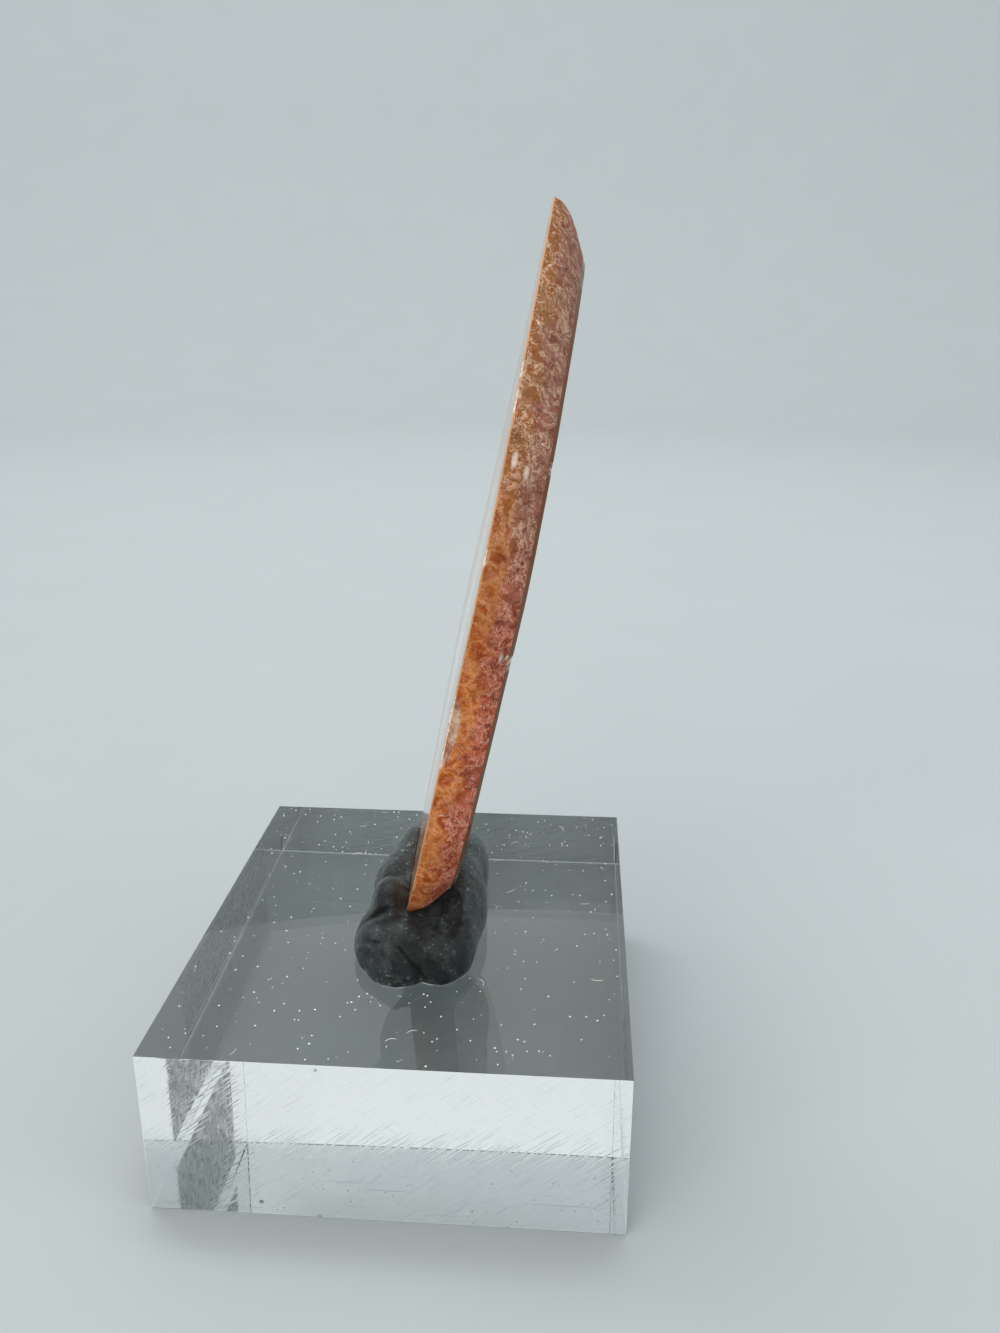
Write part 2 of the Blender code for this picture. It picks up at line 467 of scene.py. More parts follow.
    def material(self) -> bpy.types.Material:
        """Makes the material.

        Returns:
            The rind's material, which reads the slab's attributes.
        """
        material, tree, shader, place = self.start("Iron-stained chalcedony, raw rind", {
            "Roughness": 0.6, "IOR": 1.54, "Specular IOR Level": 0.3, "Subsurface Weight": 0.1,
            "Subsurface Radius": (1.0, 0.5, 0.25), "Subsurface Scale": 0.5 * MM})
        across, height, chip, white = (
            add_node(tree, "ShaderNodeAttribute", attribute_name=told.value).outputs["Fac"]
            for told in (Attribute.ACROSS, Attribute.HEIGHT, Attribute.CHIP, Attribute.FLECK))
        stir = add_node(tree, "ShaderNodeTexNoise", {
            "Vector": place, "Scale": every_mm(self.stir_mm), "Detail": 3.0})
        stir = add_node(tree, "ShaderNodeVectorMath", {
            0: stir.outputs["Color"], 1: (0.5, 0.5, 0.5)}, operation="SUBTRACT")
        warped = add_node(tree, "ShaderNodeVectorMath", {
            0: stir.outputs[0], 1: (self.stir_depth_mm * MM,) * 3, 2: place},
            operation="MULTIPLY_ADD").outputs[0]
        mottle = add_node(tree, "ShaderNodeTexNoise", {
            "Vector": place, "Scale": every_mm(self.mottle_mm), "Detail": 6.0,
            "Roughness": 0.7}).outputs[0]
        border = add_node(tree, "ShaderNodeTexNoise", {
            "Vector": place, "Scale": every_mm(self.border_mm), "Detail": 5.0,
            "Roughness": 0.65}).outputs[0]
        grain = add_node(tree, "ShaderNodeTexNoise", {
            "Vector": place, "Scale": every_mm(self.grain_mm), "Detail": 3.0,
            "Roughness": 0.7}).outputs[0]

        side = add_node(tree, "ShaderNodeMath", {
            0: border, 1: 1.5, 2: across}, operation="MULTIPLY_ADD")
        side = add_node(tree, "ShaderNodeMapRange", {
            "Value": side.outputs[0], "From Min": 1.05, "From Max": 1.38}).outputs[0]
        fresh = add_node(tree, "ShaderNodeMix", {
            0: side, 6: self.amber_side(tree, warped, mottle),
            7: self.brick_side(tree, warped, mottle)}, data_type="RGBA")
        deeper = add_node(tree, "ShaderNodeMapRange", {
            "Value": height, "From Min": self.deep_from_mm, "From Max": self.deep_to_mm,
            "To Min": 1.0, "To Max": self.deepest})
        fresh = add_node(tree, "ShaderNodeMix", {
            0: 1.0, 6: fresh.outputs[2], 7: deeper.outputs[0]}, data_type="RGBA",
            blend_type="MULTIPLY")
        pale = add_node(tree, "ShaderNodeMix", {
            0: side, 6: linear(self.weathered_amber), 7: linear(self.weathered_rose)},
            data_type="RGBA")
        reach = add_node(tree, "ShaderNodeMath", {
            0: side, 1: self.worn_lower_mm, 2: height}, operation="MULTIPLY_ADD")
        worn = add_node(tree, "ShaderNodeMapRange", {
            "Value": reach.outputs[0], "From Min": self.worn_from_mm,
            "From Max": self.worn_to_mm}).outputs[0]
        patchy = add_node(tree, "ShaderNodeMapRange", {
            "Value": mottle, "From Min": 0.4, "From Max": 0.58, "To Min": 0.35, "To Max": 0.95})
        faded = add_node(tree, "ShaderNodeMath", {0: worn, 1: patchy.outputs[0]},
                         operation="MULTIPLY")
        skin = add_node(tree, "ShaderNodeMix", {
            0: faded.outputs[0], 6: fresh.outputs[2], 7: pale.outputs[2]}, data_type="RGBA")

        pores = add_node(tree, "ShaderNodeTexNoise", {
            "Vector": warped, "Scale": every_mm(self.pore_mm), "Detail": 3.0, "Roughness": 0.6})
        pores = add_node(tree, "ShaderNodeMapRange", {
            "Value": pores.outputs[0], "From Min": 0.47, "From Max": 0.34})
        busy = add_node(tree, "ShaderNodeMath", {0: side, 1: worn}, operation="MAXIMUM")
        open_pores = add_node(tree, "ShaderNodeMapRange", {
            "Value": busy.outputs[0], "To Min": 0.15, "To Max": 0.5})
        pores = add_node(tree, "ShaderNodeMath", {
            0: pores.outputs[0], 1: open_pores.outputs[0]}, operation="MULTIPLY")
        both = add_node(tree, "ShaderNodeMath", {
            0: self.curls(tree, warped, self.curl_mm),
            1: self.curls(tree, warped, self.fine_curl_mm)}, operation="MAXIMUM")
        crowd = add_node(tree, "ShaderNodeMapRange", {
            "Value": busy.outputs[0], "To Min": 0.25, "To Max": 0.58})
        both = add_node(tree, "ShaderNodeMath", {0: both.outputs[0], 1: crowd.outputs[0]},
                        operation="MULTIPLY")
        rubbed = add_node(tree, "ShaderNodeMapRange", {
            "Value": worn, "To Min": 1.0, "To Max": 0.95})
        both = add_node(tree, "ShaderNodeMath", {0: both.outputs[0], 1: rubbed.outputs[0]},
                        operation="MULTIPLY")
        curl = add_node(tree, "ShaderNodeMix", {
            0: worn, 6: linear(self.fresh_curl), 7: linear(self.worn_curl)}, data_type="RGBA")
        broken = add_node(tree, "ShaderNodeMapRange", {
            "Value": mottle, "From Min": 0.42, "From Max": 0.6})
        broken = add_node(tree, "ShaderNodeMix", {
            0: broken.outputs[0], 6: linear(self.chip_wall), 7: linear(self.chip)},
            data_type="RGBA")
        for amount, colour in (
                (pores.outputs[0], linear(self.pore)), (both.outputs[0], curl.outputs[2]),
                (self.flecks(tree, warped), linear(self.fleck)), (chip, broken.outputs[2]),
                (white, linear(self.white))):
            skin = add_node(tree, "ShaderNodeMix", {
                0: amount, 6: skin.outputs[2], 7: colour}, data_type="RGBA")
        tone = add_node(tree, "ShaderNodeMapRange", {
            "Value": grain, "From Min": 0.3, "From Max": 0.7, "To Min": 0.72, "To Max": 1.26})
        skin = add_node(tree, "ShaderNodeMix", {
            0: 1.0, 6: skin.outputs[2], 7: tone.outputs[0]}, data_type="RGBA",
            blend_type="MULTIPLY")
        tree.links.new(skin.outputs[2], shader.inputs["Base Color"])

        relief = add_node(tree, "ShaderNodeMath", {
            0: both.outputs[0], 1: 0.6, 2: grain}, operation="MULTIPLY_ADD")
        bump = add_node(tree, "ShaderNodeBump", {
            "Strength": 0.6, "Distance": 0.1 * MM, "Height": relief.outputs[0]})
        tree.links.new(bump.outputs[0], shader.inputs["Normal"])
        return material


@dataclass(frozen=True)
class PolishedAgate(Finish):
    """Sawn and polished banded chalcedony: glassy, slightly translucent, with curved bands.

    The bands follow the wall of the nodule inwards, thin and crowded near the rind, and end in
    a heart of pale coarse quartz. The finest real lines are thinner than line_mm, and are drawn
    as coarse as they need to be to show.
    """

    zones: tuple = (
        (0.0, "#6b4329"), (0.02, "#8f5028"), (0.06, "#a5582a"), (0.074, "#d9b98e"),
        (0.088, "#cfa878"), (0.096, "#93431c"), (0.15, "#b8622c"), (0.19, "#c07a3e"),
        (0.2, "#f0e2c8"), (0.212, "#a04e22"), (0.255, "#7a2c14"), (0.275, "#8f3d1b"),
        (0.283, "#e6d3b8"), (0.3, "#dcc3a4"), (0.312, "#a8552c"), (0.37, "#c58a5a"),
        (0.4, "#a9603a"), (0.43, "#7f3a22"), (0.445, "#efe4d6"), (0.468, "#b79a8c"),
        (0.52, "#94837d"), (0.555, "#83797a"), (0.57, "#d8cfc8"), (0.585, "#8f8584"),
        (0.63, "#a39893"), (0.642, "#f2ece3"), (0.672, "#e2d9d0"), (0.69, "#aaa09c"),
        (0.76, "#c4bbb5"), (0.8, "#dcd7d1"), (1.0, "#cfcbc6"),
    )
    # colour of the painted highlight along the left face's edge
    left_edge: str = "#b98a62"
    broken: str = "#e2cdb4"
    edge_highlight_mm: float = 0.3
    reach_mm: float = 21.0
    swirl_mm: float = 15.0
    swirl_depth_mm: float = 3.2
    ripple_mm: float = 3.0
    ripple_depth_mm: float = 0.5
    skin_mm: float = 4.0
    line_mm: float = 0.55
    crystal_mm: float = 2.2

    def material(self) -> bpy.types.Material:
        """Makes the material.

        Returns:
            The polished faces' material, which reads the slab's attributes.
        """
        material, tree, shader, place = self.start("Banded agate, sawn and polished", {
            "Roughness": 0.09, "IOR": 1.54, "Subsurface Weight": 0.3,
            "Subsurface Radius": (1.0, 0.5, 0.3), "Subsurface Scale": 1.2 * MM})
        across, depth, chip = (
            add_node(tree, "ShaderNodeAttribute", attribute_name=told.value).outputs["Fac"]
            for told in (Attribute.ACROSS, Attribute.DEPTH, Attribute.CHIP))
        warped = depth
        inner = add_node(tree, "ShaderNodeMapRange", {
            "Value": warped, "From Max": self.skin_mm})
        for size, deep in ((self.swirl_mm, self.swirl_depth_mm),
                           (self.ripple_mm, self.ripple_depth_mm)):
            wave = add_node(tree, "ShaderNodeTexNoise", {
                "Vector": place, "Scale": every_mm(size), "Detail": 2.0})
            wave = add_node(tree, "ShaderNodeMath", {0: wave.outputs[0], 1: 0.5},
                            operation="SUBTRACT")
            wave = add_node(tree, "ShaderNodeMath", {
                0: wave.outputs[0], 1: inner.outputs[0]}, operation="MULTIPLY")
            wave = add_node(tree, "ShaderNodeMath", {
                0: wave.outputs[0], 1: 2 * deep, 2: warped}, operation="MULTIPLY_ADD")
            warped = wave.outputs[0]
        reach = add_node(tree, "ShaderNodeMath", {0: warped, 1: self.reach_mm},
                         operation="DIVIDE")
        zones = add_node(tree, "ShaderNodeValToRGB", {0: reach.outputs[0]}, stops=self.zones)
        lines = add_node(tree, "ShaderNodeMath", {0: warped, 1: 2 * math.pi / self.line_mm},
                         operation="MULTIPLY")
        lines = add_node(tree, "ShaderNodeMath", {0: lines.outputs[0]}, operation="SINE")
        fade = add_node(tree, "ShaderNodeMapRange", {
            "Value": reach.outputs[0], "From Min": 0.1, "From Max": 0.8,
            "To Min": 0.16, "To Max": 0.03})
        lines = add_node(tree, "ShaderNodeMath", {
            0: lines.outputs[0], 1: fade.outputs[0], 2: 1.0}, operation="MULTIPLY_ADD")
        stone = add_node(tree, "ShaderNodeMix", {
            0: 1.0, 6: zones.outputs[0], 7: lines.outputs[0]}, data_type="RGBA",
            blend_type="MULTIPLY")
        crystal = add_node(tree, "ShaderNodeTexVoronoi", {
            "Vector": place, "Scale": every_mm(self.crystal_mm)})
        crystal = add_node(tree, "ShaderNodeSeparateColor", {0: crystal.outputs["Color"]})
        crystal = add_node(tree, "ShaderNodeMapRange", {
            "Value": crystal.outputs[0], "To Min": 0.78, "To Max": 1.1})
        heart = add_node(tree, "ShaderNodeMapRange", {
            "Value": reach.outputs[0], "From Min": 0.72, "From Max": 0.8})
        stone = add_node(tree, "ShaderNodeMix", {
            0: heart.outputs[0], 6: stone.outputs[2], 7: crystal.outputs[0]},
            data_type="RGBA", blend_type="MULTIPLY")
        # painted highlight: a thin paler line along the left face's edge and its chamfer, standing
        # for light caught by the polished edge
        edge_highlight = add_node(tree, "ShaderNodeMapRange", {
            "Value": depth, "From Max": self.edge_highlight_mm, "To Min": 1.0, "To Max": 0.0})
        edge_highlight = add_node(tree, "ShaderNodeMath", {0: edge_highlight.outputs[0], 1: across},
                        operation="SUBTRACT", use_clamp=True)
        for amount, code in ((edge_highlight.outputs[0], self.left_edge), (chip, self.broken)):
            stone = add_node(tree, "ShaderNodeMix", {
                0: amount, 6: stone.outputs[2], 7: linear(code)}, data_type="RGBA")
        tree.links.new(stone.outputs[2], shader.inputs["Base Color"])
        return material


@dataclass(frozen=True)
class KneadedTack(Finish):
    """Black mineral tack: oil-bound filler, kneaded by hand, dull with a faint greasy sheen.

    Dust lies in patches, and the same pale colour also paints sheen: the tack is painted paler
    towards the back, a painted reflection of light caught at grazing angles. A thin pale line is
    painted round the foot.
    """

    foot: float
    body: str = "#090b0c"
    # colour of the dust patches, made light enough that it also paints the sheen on the left and
    # back ridges
    dust_and_sheen: str = "#363d3d"
    speck: str = "#7d8583"
    line: str = "#c4caca"
    greasy: str = "#dfe9ea"
    dust_mm: float = 3.0
    tooth_mm: float = 0.5
    speck_mm: float = 0.45
    line_mm: float = 0.22
    line_part_mm: float = 2.6

    def material(self) -> bpy.types.Material:
        """Makes the material.

        Returns:
            The tack's material.
        """
        material, tree, shader, place = self.start("Mineral tack, kneaded", {
            "Roughness": 0.55, "IOR": 1.5, "Sheen Weight": 0.22, "Sheen Roughness": 0.45,
            "Sheen Tint": linear(self.greasy)})
        dust = add_node(tree, "ShaderNodeTexNoise", {
            "Vector": place, "Scale": every_mm(self.dust_mm), "Detail": 8.0, "Roughness": 0.7})
        tooth = add_node(tree, "ShaderNodeTexNoise", {
            "Vector": place, "Scale": every_mm(self.tooth_mm), "Detail": 4.0})
        level = add_node(tree, "ShaderNodeSeparateXYZ", {0: place})
        # painted reflection: the tack grows paler towards the back (+Y), standing for light caught
        # at grazing angles on the back ridges, and this is added to the dust patches
        painted_back_sheen = add_node(tree, "ShaderNodeMapRange", {
            "Value": level.outputs[1], "From Min": -4 * MM, "From Max": 5 * MM, "To Max": 0.22})
        dust_and_back_sheen = add_node(tree, "ShaderNodeMath", {0: dust.outputs[0], 1: painted_back_sheen.outputs[0]},
                           operation="ADD")
        grey = add_node(tree, "ShaderNodeMapRange", {
            "Value": dust_and_back_sheen.outputs[0], "From Min": 0.45, "From Max": 0.7})
        colour = add_node(tree, "ShaderNodeMix", {
            0: grey.outputs[0], 6: linear(self.body), 7: linear(self.dust_and_sheen)}, data_type="RGBA")
        grains = add_node(tree, "ShaderNodeTexNoise", {
            "Vector": place, "Scale": every_mm(self.speck_mm), "Detail": 1.0})
        grains = add_node(tree, "ShaderNodeMapRange", {
            "Value": grains.outputs[0], "From Min": 0.635, "From Max": 0.7})
        grains = add_node(tree, "ShaderNodeMath", {0: grains.outputs[0], 1: grey.outputs[0]},
                          operation="MULTIPLY")
        part = add_node(tree, "ShaderNodeTexNoise", {
            "Vector": place, "Scale": every_mm(self.line_part_mm), "Detail": 2.0})
        part = add_node(tree, "ShaderNodeMapRange", {
            "Value": part.outputs[0], "From Min": 0.4, "From Max": 0.5})
        # a thin pale line painted round the tack's foot, broken into parts
        line = add_node(tree, "ShaderNodeMapRange", {
            "Value": level.outputs[2], "From Min": self.foot + self.line_mm * MM,
            "From Max": self.foot + 0.5 * self.line_mm * MM})
        line = add_node(tree, "ShaderNodeMath", {0: line.outputs[0], 1: part.outputs[0]},
                        operation="MULTIPLY")
        for amount, code in ((grains, self.speck), (line, self.line)):
            colour = add_node(tree, "ShaderNodeMix", {
                0: amount.outputs[0], 6: colour.outputs[2], 7: linear(code)},
                data_type="RGBA")
        tree.links.new(colour.outputs[2], shader.inputs["Base Color"])
        dull = add_node(tree, "ShaderNodeMapRange", {
            "Value": tooth.outputs[0], "From Min": 0.3, "From Max": 0.7,
            "To Min": 0.42, "To Max": 0.6})
        tree.links.new(dull.outputs[0], shader.inputs["Roughness"])
        bump = add_node(tree, "ShaderNodeBump", {
            "Strength": 0.9, "Distance": 0.14 * MM, "Height": tooth.outputs[0]})
        tree.links.new(bump.outputs[0], shader.inputs["Normal"])
        return material


@dataclass(frozen=True)
class CastAcrylic(Finish):
    """Clear cast acrylic, sawn and polished: water-clear, with fine slanted saw marks.

    The marks are on the four sawn sides alone, and nick the edges of what is seen through them.
    Level hairlines low on the sides and a few small pits show as faint grey. Marks and lines are
    drawn wider than the real ones, so that they show.
    """

    top: float
    tint: str = "#f6faf9"
    scuffed: str = "#b4bec1"
    pitted: str = "#5f666a"
    slant: float = math.radians(38)
    mark_width_mm: float = 0.22
    mark_length_mm: float = 4.5
    line_width_mm: float = 0.5
    line_length_mm: float = 20.0
    line_top_mm: float = 6.0
    pit_mm: float = 7.0
    edge_mm: float = 0.3

    def streaks(self, tree: bpy.types.NodeTree, flat: bpy.types.NodeSocket, turn: float,
                length_mm: float, width_mm: float) -> bpy.types.NodeSocket:
        """Draws streaky noise along one direction of a side.

        Args:
            tree: the material's node tree.
            flat: the place on the sides, as (run, height, 0).
            turn: the streaks' slope.
            length_mm: how long a streak is.
            width_mm: how wide it is.

        Returns:
            The noise, from 0 to 1.
        """
        turned = add_node(tree, "ShaderNodeVectorRotate", {
            "Vector": flat, "Angle": -turn}, rotation_type="Z_AXIS")
        drawn = add_node(tree, "ShaderNodeVectorMath", {
            0: turned.outputs[0], 1: (every_mm(length_mm), every_mm(width_mm), 0.0)},
            operation="MULTIPLY")
        return add_node(tree, "ShaderNodeTexNoise", {
            "Vector": drawn.outputs[0], "Scale": 1.0, "Detail": 1.0}).outputs[0]

    def material(self) -> bpy.types.Material:
        """Makes the material.

        Returns:
            The block's material.
        """
        material, tree, shader, place = self.start("Cast acrylic, sawn and polished", {
            "Roughness": 0.0, "IOR": 1.49, "Transmission Weight": 1.0})
        parts = add_node(tree, "ShaderNodeSeparateXYZ", {0: place})
        run = add_node(tree, "ShaderNodeMath", {0: parts.outputs[0], 1: parts.outputs[1]},
                       operation="ADD")
        flat = add_node(tree, "ShaderNodeCombineXYZ", {
            0: run.outputs[0], 1: parts.outputs[2]}).outputs[0]
        half = self.top / 2
        off = add_node(tree, "ShaderNodeMath", {0: parts.outputs[2], 1: half},
                       operation="SUBTRACT")
        off = add_node(tree, "ShaderNodeMath", {0: off.outputs[0]}, operation="ABSOLUTE")
        sides = add_node(tree, "ShaderNodeMath", {
            0: off.outputs[0], 1: half - self.edge_mm * MM}, operation="LESS_THAN").outputs[0]
        sawn = self.streaks(tree, flat, self.slant, self.mark_length_mm, self.mark_width_mm)
        marks = add_node(tree, "ShaderNodeMapRange", {
            "Value": sawn, "From Min": 0.52, "From Max": 0.72})
        marks = add_node(tree, "ShaderNodeMath", {0: marks.outputs[0], 1: sides},
                         operation="MULTIPLY")
        bump = add_node(tree, "ShaderNodeBump", {
            "Strength": 0.2, "Distance": 0.05 * MM, "Height": marks.outputs[0]})
        tree.links.new(bump.outputs[0], shader.inputs["Normal"])

        level = self.streaks(tree, flat, 0.0, self.line_length_mm, self.line_width_mm)
        level = add_node(tree, "ShaderNodeMapRange", {
            "Value": level, "From Min": 0.66, "From Max": 0.74})
        low = add_node(tree, "ShaderNodeMath", {
            0: parts.outputs[2], 1: self.line_top_mm * MM}, operation="LESS_THAN")
        level = add_node(tree, "ShaderNodeMath", {0: level.outputs[0], 1: low.outputs[0]},
                         operation="MULTIPLY")
        deep = add_node(tree, "ShaderNodeMapRange", {
            "Value": sawn, "From Min": 0.6, "From Max": 0.78, "To Max": 0.6})
        scuffs = add_node(tree, "ShaderNodeMath", {0: level.outputs[0], 1: deep.outputs[0]},
                          operation="MAXIMUM")
        pits = add_node(tree, "ShaderNodeTexVoronoi", {
            "Vector": flat, "Scale": every_mm(self.pit_mm)})
        few = add_node(tree, "ShaderNodeSeparateColor", {0: pits.outputs["Color"]})
        few = add_node(tree, "ShaderNodeMath", {0: few.outputs[0], 1: 0.6},
                       operation="GREATER_THAN")
        pits = add_node(tree, "ShaderNodeMapRange", {
            "Value": pits.outputs["Distance"], "From Min": 0.045, "From Max": 0.03})
        pits = add_node(tree, "ShaderNodeMath", {0: pits.outputs[0], 1: few.outputs[0]},
                        operation="MULTIPLY")
        colour = linear(self.tint)
        for amount, code in ((scuffs, self.scuffed), (pits, self.pitted)):
            amount = add_node(tree, "ShaderNodeMath", {0: amount.outputs[0], 1: sides},
                              operation="MULTIPLY")
            colour = add_node(tree, "ShaderNodeMix", {
                0: amount.outputs[0], 6: colour, 7: linear(code)}, data_type="RGBA").outputs[2]
        tree.links.new(colour, shader.inputs["Base Color"])
        return material


@dataclass(frozen=True)
class DriedAdhesive(Finish):
    """What an old label leaves: a frosty film of dried adhesive, worn through in patches."""

    pale: str = "#dfe2e0"
    grey: str = "#b4b9b8"
    wear_mm: float = 1.5
    streak_mm: float = 0.7

    def material(self) -> bpy.types.Material:
        """Makes the material.

        Returns:
            The film's material.
        """
        material, tree, shader, place = self.start("Dried label adhesive", {
            "Roughness": 0.75, "IOR": 1.45})
        wear = add_node(tree, "ShaderNodeTexNoise", {
            "Vector": place, "Scale": every_mm(self.wear_mm), "Detail": 5.0, "Roughness": 0.7})
        streaks = add_node(tree, "ShaderNodeTexNoise", {
            "Vector": place, "Scale": every_mm(self.streak_mm), "Detail": 3.0})
        colour = add_node(tree, "ShaderNodeMix", {
            0: streaks.outputs[0], 6: linear(self.grey), 7: linear(self.pale)},
            data_type="RGBA")
        tree.links.new(colour.outputs[2], shader.inputs["Base Color"])
        left = add_node(tree, "ShaderNodeMapRange", {
            "Value": wear.outputs[0], "From Min": 0.36, "From Max": 0.56,
            "To Min": 0.1, "To Max": 0.38})
        tree.links.new(left.outputs[0], shader.inputs["Alpha"])
        return material


@dataclass(frozen=True)
class Plain(Finish):
    """A dull finish with no gloss of its own, such as household dust or matt paper."""

    name: str
    low: str
    high: str
    size_mm: float
    roughness: float

    def material(self) -> bpy.types.Material:
        """Makes the material.

        Returns:
            The material, mottled softly between its two colours.
        """
        material, tree, shader, place = self.start(self.name, {
            "Roughness": self.roughness, "IOR": 1.45})
        mottle = add_node(tree, "ShaderNodeTexNoise", {
            "Vector": place, "Scale": every_mm(self.size_mm), "Detail": 5.0})
        colour = add_node(tree, "ShaderNodeMix", {
            0: mottle.outputs[0], 6: linear(self.low), 7: linear(self.high)},
            data_type="RGBA")
        tree.links.new(colour.outputs[2], shader.inputs["Base Color"])
        return material


@dataclass(frozen=True)
class Chip:
    """A bite out of the slab's edge: which face, its height up the slab, its size, in mm."""

    face: Face
    front: bool
    up: float
    half_length: float
    depth: float


@dataclass
class AgateSlab:
    """The slab: one thin sawn slice of a nodule, its rim still the nodule's own rind."""

    block_top: float
    thickness: float = 4.6
    lean: float = math.radians(11.8)
    turn: float = math.radians(3.8)
    foot_x: float = 0.34
    outline: tuple = (
        (0.0, 2.2), (-6.8, 4.3), (-13.0, 9.8), (-17.8, 18.5), (-20.4, 28.5), (-22.0, 38.5),
        (-23.6, 48.5), (-19.8, 59.5), (-13.4, 69.5), (-7.2, 77.6), (-2.0, 83.0), (0.6, 84.3),
        (2.6, 82.4), (3.4, 77.0), (3.8, 71.5), (5.8, 63.5), (10.6, 54.5), (17.4, 46.8),
        (23.0, 39.5), (25.0, 31.5), (22.0, 24.0), (16.0, 16.5), (10.4, 9.4), (6.0, 3.9),
    )
    curve_steps: int = 60
    top: float = 84.3
    foot: float = 2.2
    middle: float = 0.6
    top_slope_from: float = 45.0
    top_drop: float = 5.8
    foot_slope_from: float = 25.0
    foot_rise: float = 5.8
    side_draw: float = 0.955
    slope_power: float = 1.5
    bulge: float = 0.35
    left_edge: float = 0.15
    right_edge: float = 0.4
    around: int = 1080
    rim_rings: int = 34
    face_grid: float = 0.5
    lump: float = 0.22
    lump_size: float = 3.2
    grit: float = 0.09
    grit_size: float = 0.9
    pits: float = 0.05
    pit_size: float = 0.33
    calm_edge: float = 0.08
    calm_grit: float = 0.3
    break_slope: float = 0.85
    break_shows: float = 0.12
    edge_break: tuple = (0.1, 0.35)
    fleck_fade: tuple = (0.7, 1.2)
    shell_depth: float = 0.05
    shells: float = 16.0
    plug_around: int = 240
    plug_rings: int = 10
    grid_gap: float = 0.6
    crease: float = math.radians(38)
    chips: tuple[Chip, ...] = (
        Chip(Face.LEFT, True, 33.4, 4.2, 0.95),
        Chip(Face.LEFT, True, 68.0, 0.8, 0.45),
        Chip(Face.LEFT, True, 65.3, 1.1, 0.5),
        Chip(Face.LEFT, True, 51.6, 0.9, 0.4),
        Chip(Face.RIGHT, True, 41.6, 0.9, 0.4),
        Chip(Face.RIGHT, True, 61.0, 0.7, 0.3),
        Chip(Face.RIGHT, False, 47.0, 1.4, 0.5),
    )
    flecks: tuple = (
        (60.2, 0.2, 0.75, 0.065), (59.2, 0.52, 0.6, 0.06), (42.4, 0.82, 0.6, 0.04),
    )

    def axes(self) -> tuple[Points, Points, Points]:
        """Works out the slab's own directions.

        Returns:
            Unit rows: away from the front, up along the slab, and out to the right.
        """
        lean, turn = self.lean, self.turn
        away = (-math.sin(turn), math.cos(turn), 0.0)
        up = (math.sin(lean) * math.cos(turn), math.sin(lean) * math.sin(turn), math.cos(lean))
        out = (math.cos(lean) * math.cos(turn), math.cos(lean) * math.sin(turn),
               -math.sin(lean))
        return np.array(away), np.array(up), np.array(out)

    def place(self, flat: Points, out: Points) -> Points:
        """Puts points of the slab into the model's frame.

        Args:
            flat: (away, up) in mm, one row for each point.
            out: the distance to the right of the middle plane, in mm.

        Returns:
            The points in metres.
        """
        away, up, outward = self.axes()
        foot = np.array((self.foot_x, 0.0, self.block_top / MM))
        return (foot + np.outer(flat[:, 0], away) + np.outer(flat[:, 1], up)
                + np.outer(out, outward)) * MM

    def left_loop(self) -> Points:
        """Draws the left face's outline through its own few points.

        Returns:
            Evenly spaced points on it, in mm.
        """
        spans, steps = len(self.outline), self.curve_steps
        dense = []
        for i in range(spans):
            a, b, c, d = (np.array(self.outline[(i + k) % spans]) for k in (-1, 0, 1, 2))
            for t in np.arange(steps) / steps:
                dense.append(0.5 * (2 * b + (c - a) * t + (2 * a - 5 * b + 4 * c - d) * t**2
                                    + (3 * b - a - 3 * c + d) * t**3))
        dense = np.array(dense + dense[:1])
        along = np.concatenate([[0.0], np.cumsum(np.linalg.norm(np.diff(dense, axis=0), axis=1))])
        wanted = np.arange(self.around) / self.around * along[-1]
        return np.stack([np.interp(wanted, along, dense[:, k]) for k in (0, 1)], axis=1)

    def sloped(self, loop: Points) -> Points:
        """Carries the left outline along the rind's slope to the right face.

        Args:
            loop: the left outline.

        Returns:
            The right outline, point for point.
        """
        top = share(loop[:, 1], self.top_slope_from, self.top)
        foot = share(-loop[:, 1], -self.foot_slope_from, -self.foot)
        away = self.middle + (loop[:, 0] - self.middle) * self.side_draw
        up = loop[:, 1] + self.foot_rise * foot**2 - self.top_drop * top**2
        return np.stack([away, up], axis=1)

    def chip_share(self, loop: Points, face: Face) -> Points:
        """How far the chips bite into one face's edge.

        Args:
            loop: the left outline.
            face: the face whose edge it is.

        Returns:
            The bite's depth in mm, at each point of the outline.
        """
        bites = np.zeros(len(loop))
        for chip in self.chips:
            if chip.face is not face:
                continue
            near = np.clip(1 - ((loop[:, 1] - chip.up) / chip.half_length) ** 2, 0, 1)
            near[(loop[:, 0] < self.middle) != chip.front] = 0.0
            bites = np.maximum(bites, np.sqrt(near) * chip.depth)
        return bites

    def flecked(self, spot: Points, part: float) -> Points:
        """Paints the larger white flecks onto one ring of the rim.

        Args:
            spot: the ring's points as (away, up, out) in mm.
            part: how far across the rim the ring is.

        Returns:
            How much of a fleck is at each point, from 0 to 1.
        """
        white = np.zeros(len(spot))
        for up, across, long_half, wide_half in self.flecks:
            apart = ((spot[:, 1] - up) / long_half) ** 2 + ((part - across) / wide_half) ** 2
            white = np.maximum(white, 1 - share(apart, *self.fleck_fade))
        return np.where(spot[:, 0] < self.middle, white, 0.0)

